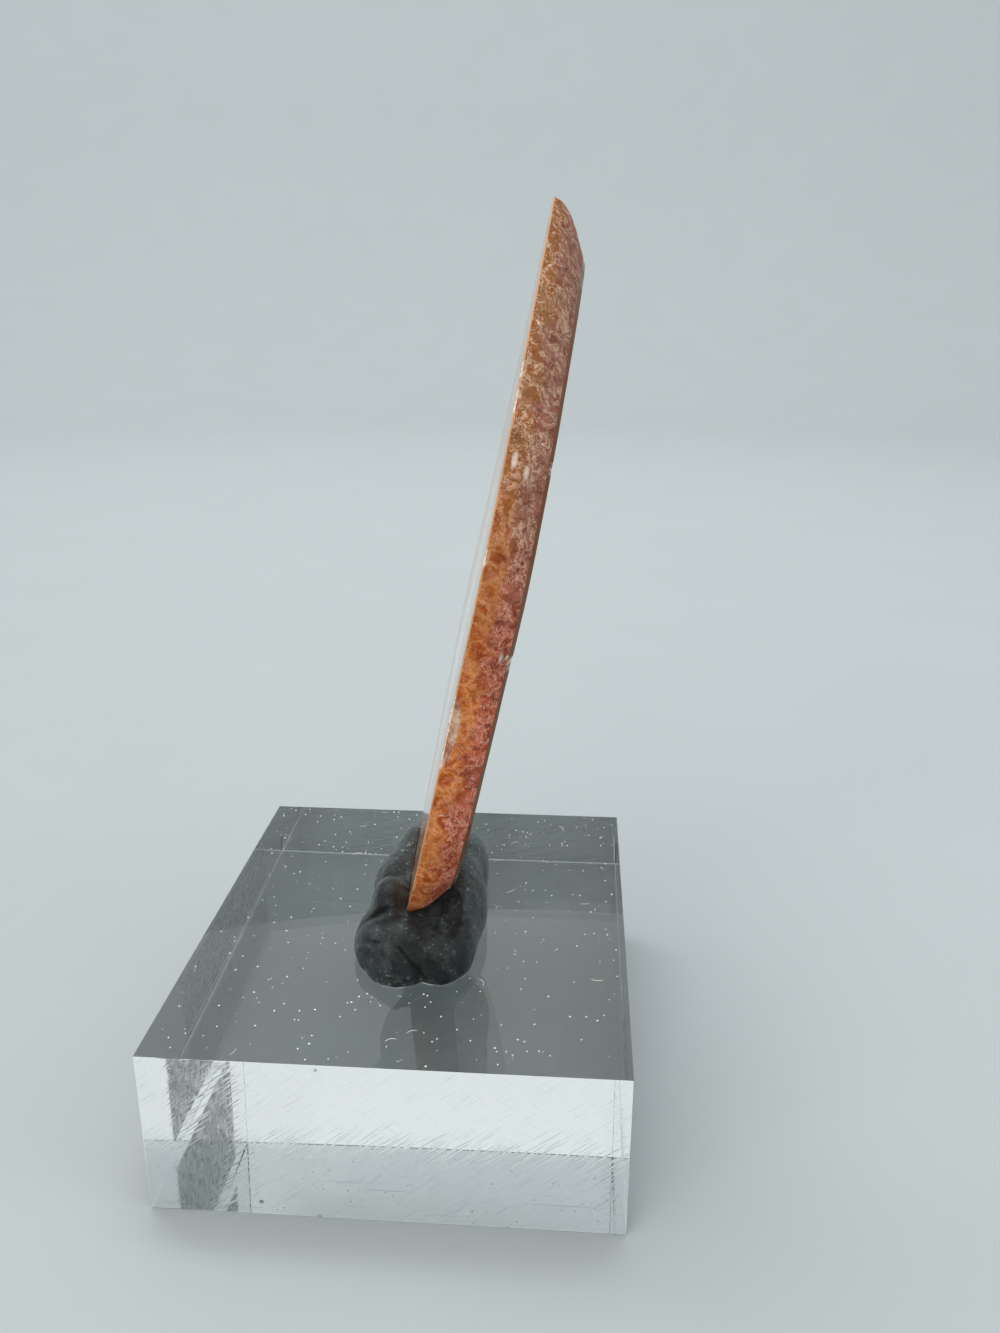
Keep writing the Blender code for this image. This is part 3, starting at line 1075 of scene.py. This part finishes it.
    def plug(self, grow: float) -> bpy.types.Object:
        """Makes the plain solid that presses the slab's slot.

        Args:
            grow: how far it stands out from the slab all round, in mm.

        Returns:
            The solid, of a few thousand faces.
        """
        plain = replace(self, around=self.plug_around, rim_rings=self.plug_rings, grit=0.0,
                        pits=0.0, chips=())
        rings, *_ = plain.rim()
        verts = []
        for ring, out in rings:
            middle = ring.mean(axis=0)
            wide = ring + (ring - middle) / np.linalg.norm(ring - middle, axis=1)[:, None] * grow
            far = out + np.sign(out) * grow * (np.abs(out) > self.thickness / 2 - 1e-6)
            verts.append(plain.place(wide, far))
        count = plain.around
        faces = stitched(len(rings), count)
        faces.append(tuple(reversed(range(count))))
        faces.append(tuple((len(rings) - 1) * count + i for i in range(count)))
        solid = add_mesh("slot_plug", np.concatenate(verts), faces)
        close_seams(solid.data)
        return solid

    def rim(self) -> tuple[list, list, list, list]:
        """Builds the rim's rings.

        Returns:
            (ring in mm, distance out in mm) from the left face's edge to the right one's, how
            far across each is, and how chipped and how flecked each of its points is.
        """
        left = self.left_loop()
        right = self.sloped(left)
        run = np.roll(left, -1, axis=0) - np.roll(left, 1, axis=0)
        run /= np.linalg.norm(run, axis=1)[:, None]
        normals = np.stack([-run[:, 1], run[:, 0]], axis=1)
        half = self.thickness / 2
        bites = {face: self.chip_share(left, face) for face in Face}
        rings, across, chipped, white = [], [], [], []
        edge = self.left_edge + bites[Face.LEFT]
        rings.append((left - normals * edge[:, None], np.full(len(left), -half)))
        across.append(0.0)
        chipped.append(share(bites[Face.LEFT], *self.edge_break))
        white.append(np.zeros(len(left)))
        for i in range(self.rim_rings + 1):
            part = i / self.rim_rings
            out = -half + self.left_edge + part * (self.thickness - self.left_edge
                                                  - self.right_edge)
            ring = left + (right - left) * ((out + half) / self.thickness)**self.slope_power
            spot = np.column_stack([ring, np.full(len(ring), out)])
            swell = self.bulge * math.sin(math.pi * part) + self.lump * lumps(spot, self.lump_size)
            calm = share(np.array(min(part, 1 - part)), 0.0, self.calm_edge)
            rough = self.calm_grit + (1 - self.calm_grit) * calm
            swell = swell + self.grit * lumps(spot, self.grit_size) * rough
            swell = swell - self.pits * np.abs(lumps(spot, self.pit_size)) * calm
            bite = np.maximum(bites[Face.LEFT] - (out + half) * self.break_slope,
                              bites[Face.RIGHT] - (half - out) * self.break_slope)
            conchoid = self.shell_depth * np.sin(bite * self.shells) * (bite > 0)
            ring = ring + normals * (swell - np.clip(bite, 0, None) + conchoid)[:, None]
            rings.append((ring, np.full(len(ring), out)))
            across.append(part)
            chipped.append(share(bite, 0.0, self.break_shows))
            white.append(self.flecked(spot, part))
        last = rings[-1][0]
        inward = ((last - right) * normals).sum(axis=1)
        edge = np.maximum(self.right_edge, inward) + bites[Face.RIGHT]
        rings.append((last - normals * edge[:, None], np.full(len(last), half)))
        across.append(1.0)
        chipped.append(share(bites[Face.RIGHT], *self.edge_break))
        white.append(np.zeros(len(left)))
        return rings, across, chipped, white

    def face_triangles(self, loop: Points) -> tuple[Points, list]:
        """Fills a face's outline with small even triangles.

        Args:
            loop: the outline in mm.

        Returns:
            The points in mm, the outline's first, and the triangles.
        """
        step = self.face_grid
        low, high = loop.min(axis=0), loop.max(axis=0)
        rows = np.arange(low[1], high[1], step * math.sqrt(3) / 2)
        grid = np.concatenate([
            np.column_stack([np.arange(low[0], high[0], step) + (i % 2) * step / 2,
                             np.full(len(np.arange(low[0], high[0], step)), row)])
            for i, row in enumerate(rows)])
        gaps = distance_inside(grid, loop)
        grid = grid[gaps > self.grid_gap * step]
        points = np.concatenate([loop, grid])
        edges = [(i, (i + 1) % len(loop)) for i in range(len(loop))]
        verts, _, faces, *_ = delaunay_2d_cdt(
            [Vector(p) for p in points], edges, [], 1, 1e-6, False)
        verts = np.array([tuple(v) for v in verts])
        faces = np.array([tuple(f) for f in faces])
        hull = (faces < len(loop)).all(axis=1)
        middles = verts[faces[hull]].mean(axis=1)
        kept = ~hull
        kept[hull] = distance_inside(middles, loop) > 0
        return verts, faces[kept].tolist()

    def build(self) -> bpy.types.Object:
        """Builds the slab's mesh, with what its finishes read.

        Returns:
            The slab, handed over to the frame.
        """
        rings, across, chips, white = self.rim()
        count = self.around
        verts = [self.place(ring, out) for ring, out in rings]
        heights = [ring[:, 1] for ring, _ in rings]
        sides = [np.full(count, a) for a in across]
        depths = [np.zeros(count) for _ in rings]
        faces = stitched(len(rings), count)
        rind = [0 < i // count < len(rings) - 2 for i in range(len(faces))]
        for ring_number, face in ((0, Face.LEFT), (-1, Face.RIGHT)):
            loop, out = rings[ring_number]
            points, triangles = self.face_triangles(loop)
            start = sum(len(v) for v in verts)
            verts.append(self.place(points, np.full(len(points), out[0])))
            heights.append(points[:, 1])
            sides.append(np.full(len(points), 0.0 if face is Face.LEFT else 1.0))
            chips.append(np.zeros(len(points)))
            white.append(np.zeros(len(points)))
            depths.append(np.abs(distance_inside(points, loop)))
            faces += [tuple(start + k for k in t) for t in triangles]
            rind += [False] * len(triangles)
        slab = add_mesh("agate_slab", np.concatenate(verts), faces)
        mesh = slab.data
        add_float(mesh, Attribute.ACROSS, np.concatenate(sides))
        add_float(mesh, Attribute.HEIGHT, np.concatenate(heights))
        add_float(mesh, Attribute.DEPTH, np.concatenate(depths))
        add_float(mesh, Attribute.CHIP, np.concatenate(chips))
        add_float(mesh, Attribute.FLECK, np.concatenate(white))
        mesh.materials.append(PolishedAgate().material())
        mesh.materials.append(RawRind().material())
        mesh.polygons.foreach_set("material_index", np.array(rind, np.int32))
        close_seams(mesh)
        mesh.set_sharp_from_angle(angle=self.crease)
        hand_over(slab, "agate", "agate_slice")
        return slab


@dataclass(frozen=True)
class Press:
    """A mark left by a finger or a fold in the tack, along a short path.

    Its points are in mm from the middle of the block's top; a negative depth raises a ridge.
    """

    path: tuple
    width: float
    depth: float
    flatness: float = 1.0

    def sink(self, points: Points) -> Points:
        """Works out how far the mark sinks.

        Args:
            points: rows in mm.

        Returns:
            The depth at each of them, in mm.
        """
        nearest = np.full(len(points), np.inf)
        ends = self.path if len(self.path) > 1 else self.path * 2
        for a, b in zip(ends[:-1], ends[1:]):
            run = np.array(b) - np.array(a)
            along = np.clip((points - a) @ run / max(run @ run, 1e-9), 0, 1)
            apart = points - a - along[:, None] * run
            nearest = np.minimum(nearest, (apart**2).sum(axis=1))
        return self.depth * np.exp(-(nearest / self.width**2) ** self.flatness)


@dataclass
class TackLump:
    """The lump of mineral tack, kneaded from several lobes and pressed round the slab's foot."""

    block_top: float
    lobes: tuple = (
        ((0.6, -0.4, 1.4), (4.4, 9.5, 4.4)),
        ((-0.6, -9.9, 0.9), (4.2, 5.9, 3.9)),
        ((3.9, -8.4, 1.0), (3.9, 6.6, 4.0)),
        ((-2.7, -5.0, 2.6), (2.5, 4.6, 4.9)),
        ((-3.9, -8.0, 1.2), (2.5, 4.8, 3.6)),
        ((5.6, -1.6, 2.4), (3.0, 8.0, 5.2)),
        ((-2.7, 2.6, 2.0), (3.2, 5.6, 4.6)),
        ((-1.7, 7.2, 2.7), (2.7, 6.0, 5.2)),
        ((4.6, 6.4, 2.4), (3.6, 6.6, 5.0)),
        ((0.9, 11.2, 1.2), (4.6, 4.6, 4.2)),
    )
    presses: tuple[Press, ...] = (
        Press(((-0.9, -5.2, 6.2), (-1.2, -6.9, 5.2)), 0.95, 1.5, 1.6),
        Press(((-5.0, -8.9, 3.6), (-4.2, -9.0, 5.0), (-2.6, -8.5, 5.6)), 0.4, 0.7),
        Press(((-2.8, -9.6, 5.2), (-0.5, -7.7, 4.9)), 0.6, -0.45),
        Press(((-0.5, -13.7, 4.2), (0.5, -14.6, 2.9), (1.8, -15.0, 1.6), (2.3, -15.0, 0.4)),
              0.32, 0.75),
        Press(((-1.1, -14.2, 3.7), (-0.1, -15.0, 2.3), (1.2, -15.3, 0.9)), 0.5, -0.3),
        Press(((1.3, -8.6, 4.7), (2.2, -12.4, 4.1), (2.9, -14.6, 2.0)), 1.5, 0.8),
        Press(((6.6, -9.6, 3.4),), 2.6, -0.55),
        Press(((4.7, -6.9, 6.2), (4.6, -9.2, 5.2), (4.3, -10.9, 4.6)), 1.25, 1.25, 3.0),
        Press(((5.0, -10.9, 4.4), (6.1, -9.3, 4.9)), 0.24, 0.8),
        Press(((-4.1, -11.8, 3.4), (-2.8, -12.5, 3.7)), 0.2, 0.28),
        Press(((-3.5, -12.2, 3.6), (-3.3, -12.9, 2.8)), 0.2, 0.28),
        Press(((8.4, 3.6, 3.6),), 2.0, 0.6),
        Press(((-6.4, 6.2, 3.2), (-6.0, 8.6, 3.0)), 1.6, 0.5),
        Press(((1.0, 15.6, 2.4),), 1.7, 0.55),
        Press(((7.4, 8.0, 5.0), (6.6, 11.4, 2.6), (5.4, 13.2, 0.8)), 0.35, 0.5),
        Press(((-6.6, 1.6, 4.6), (-6.0, -1.4, 2.2), (-5.6, -2.4, 0.6)), 0.38, 0.5),
        Press(((-1.9, -2.6, 7.4), (-1.5, 2.0, 7.9), (-1.2, 6.0, 7.9)), 0.9, 1.3),
    )
    sharpness: float = 5.0
    centre: tuple = (0.6, -0.8, 2.0)
    long_way: tuple = (1.0, 1.7, 0.9)
    rest_gap: float = 0.02
    fineness: int = 7
    reach: float = 30.0
    halvings: int = 24
    lump: float = 0.25
    lump_size: float = 3.0
    dimple: float = 0.1
    dimple_size: float = 1.1
    tooth: float = 0.035
    tooth_size: float = 0.45
    slot_gap: float = 0.06
    crease: float = math.radians(60)

    def level(self, points: Points) -> Points:
        """Blends the lobes.

        Args:
            points: rows in mm.

        Returns:
            A value for each, above 1 inside the lump and below 1 outside it.
        """
        total = np.zeros(len(points))
        for centre, half in self.lobes:
            apart = (((points - np.array(centre)) / np.array(half)) ** 2).sum(axis=1)
            total += np.exp(self.sharpness * (1.0 - apart))
        return total

    def skin(self, directions: Points) -> Points:
        """How far the lump reaches.

        Args:
            directions: unit rows.

        Returns:
            The distance from the lump's centre to its skin each way, in mm.
        """
        centre = np.array(self.centre)
        low, high = np.zeros(len(directions)), np.full(len(directions), self.reach)
        for _ in range(self.halvings):
            middle = (low + high) / 2
            inside = self.level(centre + directions * middle[:, None]) > 1.0
            low, high = np.where(inside, middle, low), np.where(inside, high, middle)
        skin = centre + directions * low[:, None]
        reach = low + self.lump * lumps(skin, self.lump_size)
        reach += self.dimple * lumps(skin, self.dimple_size)
        reach += self.tooth * lumps(skin, self.tooth_size)
        for press in self.presses:
            reach -= press.sink(skin)
        down = directions[:, 2] < 0
        floor = (self.rest_gap - centre[2]) / np.where(down, directions[:, 2], -1.0)
        return np.where(down, np.minimum(reach, floor), reach)

    def build(self, slab: AgateSlab) -> bpy.types.Object:
        """Builds the lump and presses the slab's slot into it.

        Args:
            slab: the slab that it holds.

        Returns:
            The lump, handed over to the frame.
        """
        bm = bmesh.new()
        bmesh.ops.create_icosphere(bm, subdivisions=self.fineness, radius=1.0)
        directions = np.array([tuple(v.co) for v in bm.verts]) * self.long_way
        directions /= np.linalg.norm(directions, axis=1)[:, None]
        placed = np.array(self.centre) + directions * self.skin(directions)[:, None]
        verts = placed * MM + (0.0, 0.0, self.block_top)
        faces = [[v.index for v in face.verts] for face in bm.faces]
        bm.free()
        tack = add_mesh("tack_lump", verts, faces)
        tack.data.materials.append(KneadedTack(self.block_top).material())
        slot = slab.plug(self.slot_gap)
        cut = tack.modifiers.new("slot", "BOOLEAN")
        cut.operation = "DIFFERENCE"
        cut.solver = "EXACT"
        cut.object = slot
        settle(tack, cut)
        bpy.data.objects.remove(slot)
        tack.data.set_sharp_from_angle(angle=self.crease)
        hand_over(tack, "mineral_tack", "putty")
        return tack


@dataclass
class DisplayBlock:
    """The clear block: a sawn and polished slab of cast acrylic with fine broken edges."""

    low: Vector
    high: Vector
    edge: float = 0.1 * MM
    crease: float = math.radians(20)

    def build(self) -> bpy.types.Object:
        """Builds the block.

        Returns:
            The block, handed over to the frame.
        """
        bm = bmesh.new()
        bmesh.ops.create_cube(bm, size=1.0)
        size, middle = self.high - self.low, (self.high + self.low) / 2
        for vert in bm.verts:
            vert.co = vert.co * size + middle
        bmesh.ops.bevel(bm, geom=bm.edges[:], offset=self.edge, segments=2, profile=0.5,
                        affect="EDGES")
        bmesh.ops.recalc_face_normals(bm, faces=bm.faces)
        mesh = bpy.data.meshes.new("clear_block")
        bm.to_mesh(mesh)
        bm.free()
        block = add_object("clear_block", mesh)
        mesh.shade_smooth()
        mesh.set_sharp_from_angle(angle=self.crease)
        mesh.materials.append(CastAcrylic(self.high.z).material())
        hand_over(block, "clear_acrylic", "acrylic_block")
        return block


@dataclass
class LabelResidue:
    """The film that a peeled label left on the block's left side, with a ragged outline."""

    low: Vector
    along: tuple = (-14.8, 19.6)
    up: tuple = (1.8, 17.4)
    ragged: float = 0.22
    ragged_size: float = 1.3
    ragged_seeds: tuple = (0.0, 9.0)
    step: float = 0.4
    inside: float = 0.03
    thickness: float = 0.015
    crease: float = math.radians(30)

    def build(self) -> bpy.types.Object:
        """Builds the film.

        Returns:
            The film, handed over to the frame.
        """
        (y0, y1), (z0, z1) = self.along, self.up
        corners = ((y0, z0), (y1, z0), (y1, z1), (y0, z1))
        outline = []
        for (ya, za), (yb, zb) in zip(corners, corners[1:] + corners[:1]):
            count = int(math.dist((ya, za), (yb, zb)) / self.step)
            for i in range(count):
                t = i / count
                outline.append((ya + (yb - ya) * t, za + (zb - za) * t))
        flat = np.array(outline)
        shift = self.ragged * np.stack([
            lumps(np.column_stack([flat, np.full(len(flat), seed)]), self.ragged_size)
            for seed in self.ragged_seeds], axis=1)
        flat = flat + shift
        count = len(flat)
        near = self.low.x / MM + self.inside
        verts = np.concatenate([
            np.column_stack([np.full(count, near + gap), flat]) for gap in (0, self.thickness)])
        faces = [tuple(range(count)), tuple(reversed(range(count, 2 * count)))]
        faces += stitched(2, count)
        film = add_mesh("label_residue", verts * MM, faces)
        close_seams(film.data)
        film.data.set_sharp_from_angle(angle=self.crease)
        film.data.materials.append(DriedAdhesive().material())
        hand_over(film, "clear_acrylic")
        return film


@dataclass
class BlockDust:
    """Dust specks and short curled fibres on the block's top, scattered clear of the tack.

    They are drawn larger than most real dust, so that they show.
    """

    high: Vector
    margin: float = 0.6 * MM
    lift: float = 0.01 * MM
    specks: float = 190000.0
    speck_radius: float = 0.07 * MM
    speck_shape: tuple = (1.0, 0.75, 0.5)
    fibres: float = 9000.0
    fibre_radius: float = 0.03 * MM
    fibre_start: tuple = (-0.6 * MM, 0.0, 0.03 * MM)
    fibre_middle: tuple = (0.1 * MM, 0.45 * MM, 0.12 * MM)
    fibre_end: tuple = (0.7 * MM, 0.0, 0.03 * MM)

    def tree(self, curled: bool) -> bpy.types.NodeTree:
        """Builds the Geometry Nodes tree that scatters one kind of dust over a surface.

        Args:
            curled: whether the pieces are fibres and not specks.

        Returns:
            The tree, with named inputs for its sizes.
        """
        tree = bpy.data.node_groups.new("fibre_scatter" if curled else "speck_scatter",
                                        "GeometryNodeTree")
        add = tree.interface.new_socket
        add("Geometry", in_out="INPUT", socket_type="NodeSocketGeometry")
        for name, value in (("Density", 1000.0), ("Smallest", 0.5), ("Largest", 1.0),
                            ("Clear Width", 8 * MM), ("Clear Length", 16 * MM)):
            add(name, in_out="INPUT", socket_type="NodeSocketFloat").default_value = value
        add("Seed", in_out="INPUT", socket_type="NodeSocketInt").default_value = 4
        add("Finish", in_out="INPUT", socket_type="NodeSocketMaterial")
        add("Geometry", in_out="OUTPUT", socket_type="NodeSocketGeometry")
        given = add_node(tree, "NodeGroupInput").outputs
        points = add_node(tree, "GeometryNodeDistributePointsOnFaces", {
            "Mesh": given["Geometry"], "Density": given["Density"], "Seed": given["Seed"]})
        place = add_node(tree, "GeometryNodeInputPosition")
        parts = add_node(tree, "ShaderNodeSeparateXYZ", {0: place.outputs[0]})
        wide = add_node(tree, "ShaderNodeMath", {0: parts.outputs[0], 1: given["Clear Width"]},
                        operation="DIVIDE")
        wide = add_node(tree, "ShaderNodeMath", {0: wide.outputs[0], 1: 2.0}, operation="POWER")
        long = add_node(tree, "ShaderNodeMath", {0: parts.outputs[1], 1: given["Clear Length"]},
                        operation="DIVIDE")
        long = add_node(tree, "ShaderNodeMath", {0: long.outputs[0], 1: 2.0}, operation="POWER")
        out = add_node(tree, "ShaderNodeMath", {0: wide.outputs[0], 1: long.outputs[0]},
                       operation="ADD")
        under = add_node(tree, "ShaderNodeMath", {0: out.outputs[0], 1: 1.0},
                         operation="LESS_THAN")
        kept = add_node(tree, "GeometryNodeDeleteGeometry", {
            "Geometry": points.outputs[0], "Selection": under.outputs[0]}, domain="POINT")
        size = add_node(tree, "FunctionNodeRandomValue", {
            2: given["Smallest"], 3: given["Largest"], "Seed": given["Seed"]},
            data_type="FLOAT")
        spin = add_node(tree, "FunctionNodeRandomValue", {
            0: (0.0, 0.0, 0.0), 1: (0.0, 0.0, 2 * math.pi), "Seed": given["Seed"]},
            data_type="FLOAT_VECTOR")
        if curled:
            line = add_node(tree, "GeometryNodeCurveQuadraticBezier", {
                "Resolution": 8, "Start": self.fibre_start, "Middle": self.fibre_middle,
                "End": self.fibre_end})
            around = add_node(tree, "GeometryNodeCurvePrimitiveCircle", {
                "Resolution": 4, "Radius": self.fibre_radius})
            piece = add_node(tree, "GeometryNodeCurveToMesh", {
                "Curve": line.outputs[0], "Profile Curve": around.outputs[0],
                "Fill Caps": True})
        else:
            grain = add_node(tree, "GeometryNodeMeshIcoSphere", {
                "Radius": self.speck_radius, "Subdivisions": 1})
            piece = add_node(tree, "GeometryNodeTransform", {
                "Geometry": grain.outputs[0], "Scale": self.speck_shape})
        placed = add_node(tree, "GeometryNodeInstanceOnPoints", {
            "Points": kept.outputs[0], "Instance": piece.outputs[0],
            "Rotation": spin.outputs[0], "Scale": size.outputs[1]})
        real = add_node(tree, "GeometryNodeRealizeInstances", {0: placed.outputs[0]})
        dressed = add_node(tree, "GeometryNodeSetMaterial", {
            "Geometry": real.outputs[0], "Material": given["Finish"]})
        add_node(tree, "NodeGroupOutput", {0: dressed.outputs[0]})
        return tree

    def scatter(self, name: str, curled: bool, **sizes: float) -> bpy.types.Object:
        """Scatters one kind of dust.

        Args:
            name: the piece's name.
            curled: whether the pieces are fibres.
            sizes: values of the tree's named inputs.

        Returns:
            The dust as a plain mesh, handed over to the frame.
        """
        x, y = self.high.x - self.margin, self.high.y - self.margin
        z = self.high.z + self.lift
        ground = add_mesh(name, np.array([(-x, -y, z), (x, -y, z), (x, y, z), (-x, y, z)]),
                          [(0, 1, 2, 3)])
        tree = self.tree(curled)
        spread = ground.modifiers.new("scatter", "NODES")
        spread.node_group = tree
        finish = Plain("Household dust", "#e6e8e6", "#fafaf8", size_mm=0.4, roughness=0.85)
        values = {"Finish": finish.material()} | sizes
        for item in tree.interface.items_tree:
            if item.in_out == "INPUT" and item.name in values:
                spread[item.identifier] = values[item.name]
        ground.data.update_tag()
        settle(ground, spread)
        hand_over(ground, "clear_acrylic")
        return ground

    def build(self) -> list[bpy.types.Object]:
        """Scatters the specks and the fibres.

        Returns:
            Both kinds, handed over to the frame.
        """
        specks = self.scatter("dust_specks", False, Density=self.specks, Smallest=0.4,
                              Largest=2.1, Seed=4)
        fibres = self.scatter("dust_fibres", True, Density=self.fibres, Smallest=0.4,
                              Largest=1.1, Seed=9)
        return [specks, fibres]


@dataclass(frozen=True)
class Lamp:
    """A soft rectangular lamp: its place, aim and size in metres, its power and its colour."""

    name: str
    place: tuple
    size: tuple
    watts: float
    colour: str
    aim: tuple = (0.0, 0.0, 0.05)

    def hang(self) -> None:
        """Hangs the lamp, which lights the pieces but isn't mirrored or seen in the block."""
        data = bpy.data.lights.new(self.name, "AREA")
        data.shape = "RECTANGLE"
        data.size, data.size_y = self.size
        data.energy = self.watts
        data.color = linear(self.colour)[:3]
        lamp = add_object(self.name, data)
        lamp.location = self.place
        lamp.visible_transmission = False
        lamp.visible_glossy = False
        towards = Vector(self.aim) - Vector(self.place)
        lamp.rotation_euler = towards.to_track_quat("-Z", "Y").to_euler()


@dataclass
class Studio:
    """The plain pale stage, its soft lights and the camera at the photograph's view."""

    floor: str = "#a5abac"
    floor_mottle: str = "#a9afb0"
    floor_gap: float = 0.05 * MM
    floor_radius: float = 0.7
    bend: float = 0.5
    slope: float = math.radians(60)
    bend_steps: int = 12
    sweep_steps: int = 96
    wall: float = 0.8
    camera_place: tuple = (18.432, -120.27, 93.493)
    camera_right: tuple = (0.99751, 0.07044, 0.00183)
    camera_down: tuple = (0.02441, -0.32101, -0.94676)
    camera_forward: tuple = (-0.0661, 0.94445, -0.32193)
    focal_px: float = 1109.29
    photo_height_px: float = 1333.0
    sensor: float = 36.0
    nearest: float = 5 * MM
    sky: str = "#e6ebec"
    sky_strength: float = 1.0
    lamps: tuple[Lamp, ...] = (
        Lamp("overhead", (-0.10, -0.05, 0.75), (0.9, 0.9), 2.3, "#ffffff"),
        Lamp("front_left", (-0.21, -0.39, 0.17), (0.36, 0.26), 1.16, "#fff8f0"),
        Lamp("right_fill", (0.39, -0.13, 0.23), (0.26, 0.31), 0.38, "#eef5ff"),
        Lamp("backdrop_wash", (-0.15, 0.25, 0.95), (0.8, 0.3), 8.0, "#fbfcfd",
             (0.0, 0.9, 0.45)),
    )

    def build_camera(self) -> None:
        """Sets the camera where the photograph was taken from."""
        data = bpy.data.cameras.new("photo_view")
        camera = add_object("photo_view", data)
        data.sensor_width = self.sensor
        data.lens = self.focal_px / self.photo_height_px * self.sensor
        data.clip_start = self.nearest
        turned = Matrix((self.camera_right, [-c for c in self.camera_down],
                         [-c for c in self.camera_forward])).transposed().to_4x4()
        turned.translation = Vector(self.camera_place) * MM
        camera.matrix_world = turned
        bpy.context.scene.camera = camera

    def build_stage(self) -> None:
        """Lays the round floor, which curves up into a sloping backdrop all round the object."""
        profile = [(0.0, 0.0), (self.floor_radius, 0.0)]
        for i in range(1, self.bend_steps + 1):
            angle = i / self.bend_steps * self.slope
            profile.append((self.floor_radius + self.bend * math.sin(angle),
                            self.bend * (1 - math.cos(angle))))
        out, up = profile[-1]
        profile.append((out + self.wall * math.cos(self.slope),
                        up + self.wall * math.sin(self.slope)))
        bm = bmesh.new()
        spots = [bm.verts.new((r, 0.0, z - self.floor_gap)) for r, z in profile]
        edges = [bm.edges.new(pair) for pair in zip(spots, spots[1:])]
        bmesh.ops.spin(bm, geom=spots + edges, cent=(0, 0, 0), axis=(0, 0, 1),
                       angle=2 * math.pi, steps=self.sweep_steps)
        bmesh.ops.remove_doubles(bm, verts=bm.verts, dist=MM)
        bmesh.ops.recalc_face_normals(bm, faces=bm.faces)
        bmesh.ops.reverse_faces(bm, faces=bm.faces)
        mesh = bpy.data.meshes.new("pale_sweep")
        bm.to_mesh(mesh)
        bm.free()
        mesh.shade_smooth()
        stage = add_object("pale_sweep", mesh)
        paper = Plain("Seamless paper, matt", self.floor, self.floor_mottle, size_mm=40.0,
                      roughness=0.9)
        mesh.materials.append(paper.material())

    def build_lights(self) -> None:
        """Hangs the soft lights and sets an even pale sky."""
        for lamp in self.lamps:
            lamp.hang()
        world = bpy.data.worlds.new("pale_room")
        bpy.context.scene.world = world
        world.use_nodes = True
        sky = world.node_tree.nodes["Background"]
        sky.inputs["Color"].default_value = linear(self.sky)
        sky.inputs["Strength"].default_value = self.sky_strength

    def build(self) -> None:
        """Builds the whole studio."""
        self.build_camera()
        self.build_stage()
        self.build_lights()
        bpy.context.scene.view_settings.view_transform = "Standard"


def main() -> None:
    """Builds every piece in order, and reports each."""
    logging.basicConfig(level=logging.INFO, format="%(name)s %(message)s")
    low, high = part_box("acrylic_block")
    Studio().build()
    report(DisplayBlock(low, high).build())
    slab = AgateSlab(block_top=high.z)
    report(slab.build())
    report(TackLump(block_top=high.z).build(slab))
    report(LabelResidue(low).build())
    for dust in BlockDust(high).build():
        report(dust)


if __name__ == "__main__":
    main()
